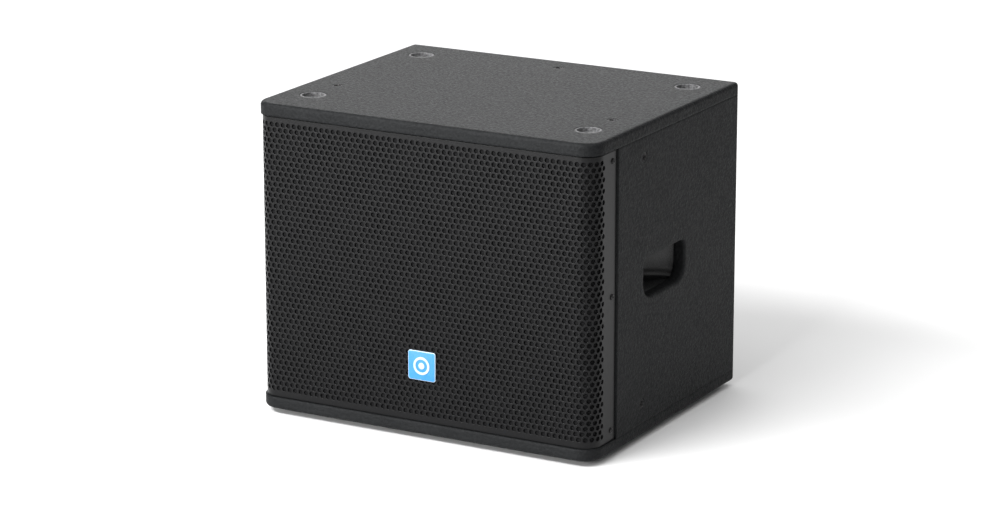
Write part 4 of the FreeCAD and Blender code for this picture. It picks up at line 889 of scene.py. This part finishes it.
def bowl_levels(low, high, fillet, steps=6):
    """Heights through a bowl, close together where its floor and ceiling round into the wall."""
    rise = [fillet * (1 - math.cos(math.radians(90) * i / steps)) for i in range(steps + 1)]
    return ([(low + r) for r in rise] + even(low + fillet, high - fillet, 5 * MM)[1:-1]
            + [(high - r) for r in reversed(rise)])


class CABINET_OT_handles(bpy.types.Operator):
    """Make the moulded pocket handles, with a curved inner wall"""
    bl_idname = "cabinet.handles"
    bl_label = "Handles"

    def execute(self, context):
        sizes = context.scene.cabinet_sizes
        for name, side in (("left", -1), ("right", 1)):
            low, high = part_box("handle_cup_" + name)
            wall, margin, fillet = sizes.pocket_wall, sizes.pocket_margin, sizes.pocket_fillet
            face = side * max(abs(low.x), abs(high.x))
            depth = high.x - low.x - wall
            half = (high.y - low.y) / 2 - margin
            centre_y = (low.y + high.y) / 2
            floor, ceiling = low.z + margin, high.z - margin
            radius = (half ** 2 + depth ** 2) / (2 * depth)
            points, faces = [], []
            across = [half * math.sin(math.radians(90) * i / 24) for i in range(-24, 25)]
            levels = bowl_levels(floor, ceiling, fillet)
            rows = [(floor, None)] + [(z, min(z - floor, ceiling - z)) for z in levels] + [(ceiling, None)]
            for z, inside in rows:
                for y in across:
                    deep = math.sqrt(max(radius ** 2 - y ** 2, 0)) - (radius - depth)
                    if inside is None:
                        deep = 0.0
                    elif inside < fillet:
                        drop = fillet - math.sqrt(fillet ** 2 - (fillet - inside) ** 2)
                        deep = max(deep - drop, 0.0)
                    points.append((face - side * deep, centre_y + y, z))
            count = len(across)
            for row in range(len(rows) - 1):
                for column in range(count - 1):
                    start = row * count + column
                    faces.append((start, start + 1, start + count + 1, start + count))
            flange = [(floor - margin, centre_y - half - margin), (floor - margin, centre_y + half + margin),
                      (ceiling + margin, centre_y + half + margin),
                       (ceiling + margin, centre_y - half - margin)]
            rim = [(floor, centre_y - half), (floor, centre_y + half),
                   (ceiling, centre_y + half), (ceiling, centre_y - half)]
            base = len(points)
            points += [(face, y, z) for z, y in flange] + [(face, y, z) for z, y in rim]
            faces += [(base + i, base + (i + 1) % 4, base + 4 + (i + 1) % 4, base + 4 + i) for i in range(4)]
            piece = mesh_object("pocket_" + name, points, faces, "black_abs", 50.0)
            shell = piece.modifiers.new("wall", "SOLIDIFY")
            shell.thickness = wall
            shell.offset = -1.0
            push_inward(piece, side)
            with context.temp_override(active_object=piece, object=piece, selected_objects=[piece]):
                bpy.ops.object.modifier_apply(modifier="wall")
            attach(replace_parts(piece, "handle_cup_" + name), "cabinet")
        return {"FINISHED"}


def push_inward(piece, side):
    """Face the bowl's normals out of the cabinet, so that its wall grows inward."""
    work = bmesh.new()
    work.from_mesh(piece.data)
    work.normal_update()
    total = sum((face.normal.x * face.calc_area() for face in work.faces), 0.0)
    if total * side < 0:
        bmesh.ops.reverse_faces(work, faces=work.faces)
    work.to_mesh(piece.data)
    work.free()


# ---------------------------------------------------------------------------
# Connectors, driver and wadding
# ---------------------------------------------------------------------------

class CABINET_OT_sockets(bpy.types.Operator):
    """Make the two round locking speaker sockets"""
    bl_idname = "cabinet.sockets"
    bl_label = "Speaker sockets"

    def execute(self, context):
        for node_name in ("input_socket", "link_socket"):
            low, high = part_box(node_name)
            flange = (high.x - low.x) / 2
            length = high.y - low.y
            spot = (middle((low, high)).x, high.y, middle((low, high)).z)
            profile = [(0, -length), (15 * MM, -length), (15 * MM, -2.5 * MM), (flange, -2.5 * MM),
                       (flange, 0), (13.6 * MM, 0), (13.2 * MM, -0.8 * MM), (12.5 * MM, -0.8 * MM),
                       (12.5 * MM, -length + 3 * MM), (7 * MM, -length + 3 * MM), (7 * MM, -2 * MM),
                       (5.2 * MM, -2 * MM), (5.2 * MM, -3.2 * MM), (0, -3.2 * MM)]
            body = turned(node_name + "_barrel", soften(profile, 0.45 * MM), spot, (0, 1, 0),
                          "socket_plastic", 72)
            keys = []
            for angle in (20, 110, 200, 290):
                turn = Matrix.Rotation(math.radians(angle), 4, "Y")
                keys.append(key_rib("key", spot, turn, length))
            piece = joined(node_name + "_shell", [body] + keys)
            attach(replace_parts(piece, node_name), "cabinet")
        return {"FINISHED"}


def key_rib(name, spot, turn, length):
    """A locking rib along the inside of a socket's barrel."""
    points = []
    for y in (-1.6 * MM, -length + 4 * MM):
        for x, z in ((-1.3, 12.7), (1.3, 12.7), (0.9, 11.5), (-0.9, 11.5)):
            points.append(Vector(spot) + turn @ Vector((x * MM, y, z * MM)))
    faces = [(0, 1, 2, 3), (7, 6, 5, 4)] + [(i, (i + 1) % 4, 4 + (i + 1) % 4, 4 + i) for i in range(4)]
    return mesh_object(name, points, faces, "socket_plastic")


def along_driver():
    """The driver's centre on the baffle's face, and its axis from there to the rear."""
    low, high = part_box("driver_basket")
    return Vector((middle((low, high)).x, low.y, middle((low, high)).z)), Vector((0, 1, 0))


def flexing(piece):
    """Bake a ring's place in the cabinet into its mesh."""
    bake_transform(piece)


def ring_from(name, node_name, profile, slot_name, body, segments=96):
    """A turned piece on the driver's axis that stands for a CAD node; heights run to the rear."""
    centre, axis = along_driver()
    piece = turned(name, profile, centre, axis, slot_name, segments, 50.0)
    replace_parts(piece, node_name)
    if body:
        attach(piece, body)
    return piece


class CABINET_OT_driver(bpy.types.Operator):
    """Make the driver's soft parts: surround, cone, dust cap and spider"""
    bl_idname = "cabinet.driver"
    bl_label = "Driver"

    def execute(self, context):
        low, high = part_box("surround")
        centre, _ = along_driver()
        outer, inner = (high.x - low.x) / 2, 112 * MM
        front, back = low.y - centre.y, high.y - centre.y
        roll_in, roll_out = 118 * MM, 137.5 * MM
        mid, roll = (roll_in + roll_out) / 2, (roll_out - roll_in) / 2
        thick = 0.7 * MM
        base = back - 0.6 * MM
        face = [(inner, base), (roll_in, base)]
        rear = [(roll_in + thick, back), (inner, back)]
        for step in range(1, 24):
            angle = math.pi * step / 24
            face.append((mid - roll * math.cos(angle), base - (base - front) * math.sin(angle)))
        face += [(roll_out, base), (outer, base)]
        for step in range(1, 24):
            angle = math.pi * step / 24
            rear.insert(0, (mid - (roll - thick) * math.cos(angle),
                            back - (base - front - thick) * math.sin(angle) - 0.6 * MM))
        rear.insert(0, (roll_out - thick, back))
        piece = ring_from("surround_roll", "surround", face + [(outer, back)] + rear + [(inner, base)],
                          "treated_cloth", None)
        flexing(piece)

        low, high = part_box("cone")
        front = low.y - centre.y
        depth = high.y - centre.y
        neck = 38.65 * MM
        curve = []
        for step in range(25):
            t = step / 24
            curve.append((neck + (110.5 * MM - neck) * t, depth - 2 * MM - (depth - 2 * MM - front) * t))
        profile = curve + [(118 * MM, front), (118 * MM, front + 1.2 * MM), (111.5 * MM, front + 1.2 * MM)]
        profile += [(r, s + 1.3 * MM) for r, s in reversed(curve)] + [curve[0]]
        ring_from("cone_body", "cone", profile, "cone_paper", "cone_assembly")

        low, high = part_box("dust_cap")
        radius = (high.x - low.x) / 2
        front, back = low.y - centre.y, high.y - centre.y
        dome = [(radius * t, front + (back - front - 1.2 * MM) * t ** 2) for t in (i / 16 for i in range(17))]
        inside = [(r * 0.985, s + 1.1 * MM) for r, s in reversed(dome)]
        ring_from("dust_cap_dome", "dust_cap", dome + inside, "cone_paper", "cone_assembly")

        low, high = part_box("spider")
        outer = (high.x - low.x) / 2
        level = middle((low, high)).y - centre.y
        waves = []
        for step in range(73):
            t = step / 72
            reach = neck + (outer - neck) * t
            fade = min(1.0, 6 * min(t, 0.86 - t)) if t < 0.86 else 0.0
            waves.append((reach, level - 2.6 * MM * fade * math.sin(2 * math.pi * 4 * t)))
        sheet = waves + [(r, s + 0.5 * MM) for r, s in reversed(waves)] + [waves[0]]
        piece = ring_from("spider_disc", "spider", sheet, "spider_cloth", None)
        flexing(piece)
        return {"FINISHED"}


class CABINET_OT_leads(bpy.types.Operator):
    """Make the two braided tinsel leads"""
    bl_idname = "cabinet.leads"
    bl_label = "Tinsel leads"

    def execute(self, context):
        pieces = []
        for number, (low, high) in enumerate(solids_of("tinsel_leads")):
            x = (low.x + high.x) / 2
            start = Vector((x, high.y - 2.4 * MM, low.z + 0.8 * MM))
            end = Vector((x, low.y + 0.8 * MM, high.z - 0.4 * MM))
            pieces.append(braid("lead_%d" % number, start, end, 0.7 * MM))
        piece = joined("tinsel_braids", pieces)
        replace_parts(piece, "tinsel_leads")
        low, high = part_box("tinsel_leads")
        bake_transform(piece)
        return {"FINISHED"}


def braid(name, start, end, radius):
    """Two strands twisted round a slack line between two points."""
    points, faces = [], []
    steps, sides = 48, 8
    for strand in range(2):
        base = len(points)
        for step in range(steps + 1):
            t = step / steps
            line = start.lerp(end, t) + Vector((0, 3.2 * MM * math.sin(math.pi * t), 0))
            twist = 2 * math.pi * (6 * t + strand / 2)
            centre = line + Vector((math.cos(twist), math.sin(twist), 0)) * radius * 0.45
            for side in range(sides):
                angle = 2 * math.pi * side / sides
                points.append(centre + Vector((math.cos(angle), math.sin(angle), 0)) * radius * 0.5)
        for step in range(steps):
            for side in range(sides):
                after = (side + 1) % sides
                low, high = base + step * sides, base + (step + 1) * sides
                faces.append((low + side, low + after, high + after, high + side))
        faces.append(tuple(range(base, base + sides)))
        faces.append(tuple(range(base + steps * sides, base + (steps + 1) * sides)))
    return mesh_object(name, points, faces, "copper_wire", 60.0)


class CABINET_OT_wadding(bpy.types.Operator):
    """Make the wadding on the side walls"""
    bl_idname = "cabinet.wadding"
    bl_label = "Wadding"

    def execute(self, context):
        for number, (low, high) in enumerate(solids_of("damping_pads")):
            piece = pad_between("wadding_%s" % ("left", "right")[number], low, high)
            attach(piece, "cabinet")
            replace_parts(piece, "damping_pads")
        return {"FINISHED"}


def pad_between(name, low, high):
    """A crowned, tufted pad whose flat back is on the cabinet's wall."""
    inner = 1 if low.x < 0 else -1
    wall = low.x if inner > 0 else high.x
    thick = high.x - low.x
    columns, rows = 24, 60
    points, faces = [], []
    for layer in (0, 1):
        for row in range(rows + 1):
            for column in range(columns + 1):
                a, b = column / columns, row / rows
                edge = min(a, 1 - a, 1.0) * 2, min(b, 1 - b, 1.0) * 2
                crown = (1 - (1 - edge[0]) ** 6) * (1 - (1 - edge[1]) ** 12)
                tuft = 0.08 * math.sin(a * 5 * math.pi) * math.sin(b * 13 * math.pi)
                bulge = thick * (0.25 + 0.66 * crown + tuft * crown) if layer else 0.3 * MM
                points.append((wall + inner * bulge, low.y + (high.y - low.y) * a,
                               low.z + (high.z - low.z) * b))
    width = columns + 1
    size = width * (rows + 1)
    for layer in (0, 1):
        for row in range(rows):
            for column in range(columns):
                start = layer * size + row * width + column
                faces.append((start, start + 1, start + width + 1, start + width))
    border = ([(0, c) for c in range(columns)] + [(r, columns) for r in range(rows)]
              + [(rows, c) for c in range(columns, 0, -1)] + [(r, 0) for r in range(rows, 0, -1)])
    ids = [r * width + c for r, c in border]
    for here, there in zip(ids, ids[1:] + ids[:1]):
        faces.append((here, there, there + size, here + size))
    return mesh_object(name, points, faces, "wadding", 60.0)


class CABINET_OT_finishes(bpy.types.Operator):
    """Dress the pieces that keep their CAD shape in their materials"""
    bl_idname = "cabinet.finishes"
    bl_label = "Finishes"

    def execute(self, context):
        slots = {part["node"]: part["material_slot"] for part in frame["record"]["subparts"]}
        for name, piece in NODES.items():
            piece.data.materials.clear()
            piece.data.materials.append(finish_of(slots[name]))
        return {"FINISHED"}


# ---------------------------------------------------------------------------
# Studio
# ---------------------------------------------------------------------------

# The soft boxes, in metres and watts: name, place, width, height, power. The key is a long strip that
# draws the line along the lid's front edge, the fill lights the front, and the backdrop lies where
# the lid mirrors it.
LAMPS = (
    ("key", (-1.1, -2.6, 3.0), 3.6, 0.45, 230),
    ("fill", (-1.3, -3.4, 0.9), 2.2, 1.2, 140),
    ("backdrop", (-2.4, 4.3, 1.4), 4.0, 2.0, 76),
)
LAMP_TARGET = Vector((0, 0, 0.2))


def area_light(name, place, width, height, power):
    """A soft box that faces the cabinet and stays out of sight itself."""
    light = bpy.data.lights.new(name, "AREA")
    light.shape = "RECTANGLE"
    light.size = width
    light.size_y = height
    light.energy = power
    lamp = bpy.data.objects.new(name, light)
    lamp.location = place
    lamp.rotation_euler = (LAMP_TARGET - Vector(place)).to_track_quat("-Z", "Y").to_euler()
    lamp.visible_camera = False
    bpy.context.scene.collection.objects.link(lamp)


def pale_floor_paint():
    """Matt white studio vinyl, rolled out flat."""
    material, tree, place = new_material("Studio vinyl, matt white")
    mottle = node(tree, "ShaderNodeTexNoise", {"in:Scale": 2.0, "in:Detail": 2.0}, {"Vector": place})
    colour = ramp(tree, mottle.outputs["Fac"], 0.3, 0.7, grey(0.68), grey(0.71))
    close(tree, node(tree, "ShaderNodeBsdfPrincipled", {"in:Roughness": 0.9, "in:Specular IOR Level": 0.1},
                     {"Base Color": colour}))
    return material


def studio_surround(scene):
    """White paper all round behind the subject; the room's own light is strong overhead and faint
    toward the horizon, as under a soft box that covers the ceiling."""
    world = bpy.data.worlds.new("studio")
    scene.world = world
    world.use_nodes = True
    tree = world.node_tree
    tree.nodes.clear()
    paper = node(tree, "ShaderNodeBackground", {"in:Color": grey(1.0), "in:Strength": 1.0})
    lie = node(tree, "ShaderNodeTexCoord").outputs["Generated"]
    height = node(tree, "ShaderNodeSeparateXYZ", {}, {"Vector": lie}).outputs["Z"]
    ceiling = node(tree, "ShaderNodeMapRange", {"in:From Min": 0.35, "in:From Max": 1.0, "in:To Min": 0.18,
                                                "in:To Max": 1.7}, {"Value": height})
    room = node(tree, "ShaderNodeBackground", {"in:Color": grey(1.0)}, {"Strength": ceiling.outputs[0]})
    seen = node(tree, "ShaderNodeLightPath").outputs["Is Camera Ray"]
    both = node(tree, "ShaderNodeMixShader", {}, {"0": seen, "1": room.outputs[0], "2": paper.outputs[0]})
    node(tree, "ShaderNodeOutputWorld", links={"Surface": both.outputs[0]})


class CABINET_OT_stage(bpy.types.Operator):
    """Lay the pale floor and set the camera, the lights and the backdrop's light"""
    bl_idname = "cabinet.stage"
    bl_label = "Stage"

    def execute(self, context):
        sizes = context.scene.cabinet_sizes
        scene = context.scene
        mesh = bpy.data.meshes.new("floor")
        reach = 12.0
        mesh.from_pydata([(-reach, -reach, 0), (reach, -reach, 0), (reach, reach, 0), (-reach, reach, 0)],
                         [], [(0, 1, 2, 3)])
        mesh.materials.append(pale_floor_paint())
        floor = bpy.data.objects.new("floor", mesh)
        scene.collection.objects.link(floor)

        low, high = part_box("bottom_panel"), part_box("top_panel")
        centre = Vector((0, 0, (low[0].z + high[1].z) / 2))
        yaw, pitch = sizes.camera_yaw, sizes.camera_pitch
        camera = bpy.data.cameras.new("camera")
        camera.lens = sizes.camera_lens
        camera.sensor_width = 36
        camera.clip_end = 60
        eye = bpy.data.objects.new("camera", camera)
        eye.location = centre + Vector((sizes.eye_x, sizes.eye_y, sizes.eye_z))
        eye.rotation_euler = (math.radians(90) - pitch, 0, yaw)
        scene.collection.objects.link(eye)
        scene.camera = eye

        for name, place, width, height, power in LAMPS:
            area_light(name, place, width, height, power)
        studio_surround(scene)
        scene.view_settings.view_transform = "Standard"
        return {"FINISHED"}


# ---------------------------------------------------------------------------
# The add-on
# ---------------------------------------------------------------------------

def length_property(name, description, default):
    return FloatProperty(name=name, description=description, default=default, unit="LENGTH", precision=5)


class CabinetSizes(bpy.types.PropertyGroup):
    pitch: length_property("Hole pitch", "Distance between neighbouring holes of the grille", 7.75 * MM)
    hole: length_property("Hole diameter", "Diameter of the grille's holes", 5.9 * MM)
    sheet: length_property("Sheet thickness", "Thickness of the grille's steel", 1.5 * MM)
    grille_radius: length_property("Grille bend", "Outer radius of the grille's two bends", 22 * MM)
    plain_side: length_property("Side margin", "Plain steel at the end of each return", 24 * MM)
    plain_top: length_property("Top margin", "Plain steel above the holes", 4.3 * MM)
    plain_low: length_property("Bottom margin", "Plain steel below the holes", 6.5 * MM)
    foam: length_property("Foam thickness", "Thickness of the foam behind the grille", 5 * MM)
    badge_rim: length_property("Badge rim", "Width of the badge's pale rim", 0.7 * MM)
    sleeve: length_property("Sleeve radius", "Outer radius of a flying point's sleeve", 5.5 * MM)
    thread: length_property("Thread pitch", "Pitch of the flying points' M8 thread", 1.25 * MM)
    pocket_wall: length_property("Pocket wall", "Wall of the handle's bowl", 2.5 * MM)
    pocket_margin: length_property("Pocket flange", "Flange round the handle's bowl", 18 * MM)
    pocket_fillet: length_property("Pocket rounding", "Rounding of the bowl's floor and ceiling", 14 * MM)
    camera_lens: FloatProperty(name="Lens", description="Focal length in millimetres on a 36 mm sensor",
                               default=130.05, unit="CAMERA")
    camera_yaw: FloatProperty(name="Yaw", description="Turn of the view about the vertical",
                              default=math.radians(29.08), subtype="ANGLE")
    camera_pitch: FloatProperty(name="Pitch", description="How far the view looks down",
                                default=math.radians(15.40), subtype="ANGLE")
    eye_x: length_property("Eye X", "Camera place from the box's centre, along X", 2.0654)
    eye_y: length_property("Eye Y", "Camera place from the box's centre, along Y", -3.7114)
    eye_z: length_property("Eye Z", "Camera place from the box's centre, along Z", 1.1564)


class CabinetColours(bpy.types.PropertyGroup):
    paint: FloatVectorProperty(name="Paint", description="Colour of the cabinet's textured paint",
                               subtype="COLOR", size=3, default=linear("#1a1b1c")[:3], min=0, max=1)
    paint_deep: FloatVectorProperty(name="Paint, deep", description="Its darker clouds",
                                    subtype="COLOR", size=3, default=linear("#161718")[:3], min=0, max=1)
    badge: FloatVectorProperty(name="Badge", description="Colour of the badge's field",
                               subtype="COLOR", size=3, default=linear("#1f78c0")[:3], min=0, max=1)


class CABINET_PT_panel(bpy.types.Panel):
    """Lists the makers of the cabinet's pieces"""
    bl_label = "PA speaker cabinet"
    bl_idname = "CABINET_PT_panel"
    bl_space_type = "VIEW_3D"
    bl_region_type = "UI"
    bl_category = "Cabinet"

    def draw(self, context):
        column = self.layout.column()
        for maker in MAKE_ORDER:
            column.operator(maker.bl_idname)


MAKE_ORDER = (CABINET_OT_finishes, CABINET_OT_grille, CABINET_OT_foam, CABINET_OT_badge,
              CABINET_OT_screws, CABINET_OT_cups, CABINET_OT_feet, CABINET_OT_sleeves,
              CABINET_OT_handles, CABINET_OT_sockets, CABINET_OT_driver, CABINET_OT_leads,
              CABINET_OT_wadding, CABINET_OT_stage)
CLASSES = (CabinetSizes, CabinetColours) + MAKE_ORDER + (CABINET_PT_panel,)


def register():
    for cls in CLASSES:
        bpy.utils.register_class(cls)
    bpy.types.Scene.cabinet_sizes = PointerProperty(type=CabinetSizes)
    bpy.types.Scene.cabinet_colours = PointerProperty(type=CabinetColours)


def unregister():
    del bpy.types.Scene.cabinet_colours
    del bpy.types.Scene.cabinet_sizes
    for cls in reversed(CLASSES):
        bpy.utils.unregister_class(cls)


def main():
    """Make everything in order."""
    register()
    for maker in MAKE_ORDER:
        group, name = maker.bl_idname.split(".")
        getattr(getattr(bpy.ops, group), name)()


if __name__ == "__main__":
    main()
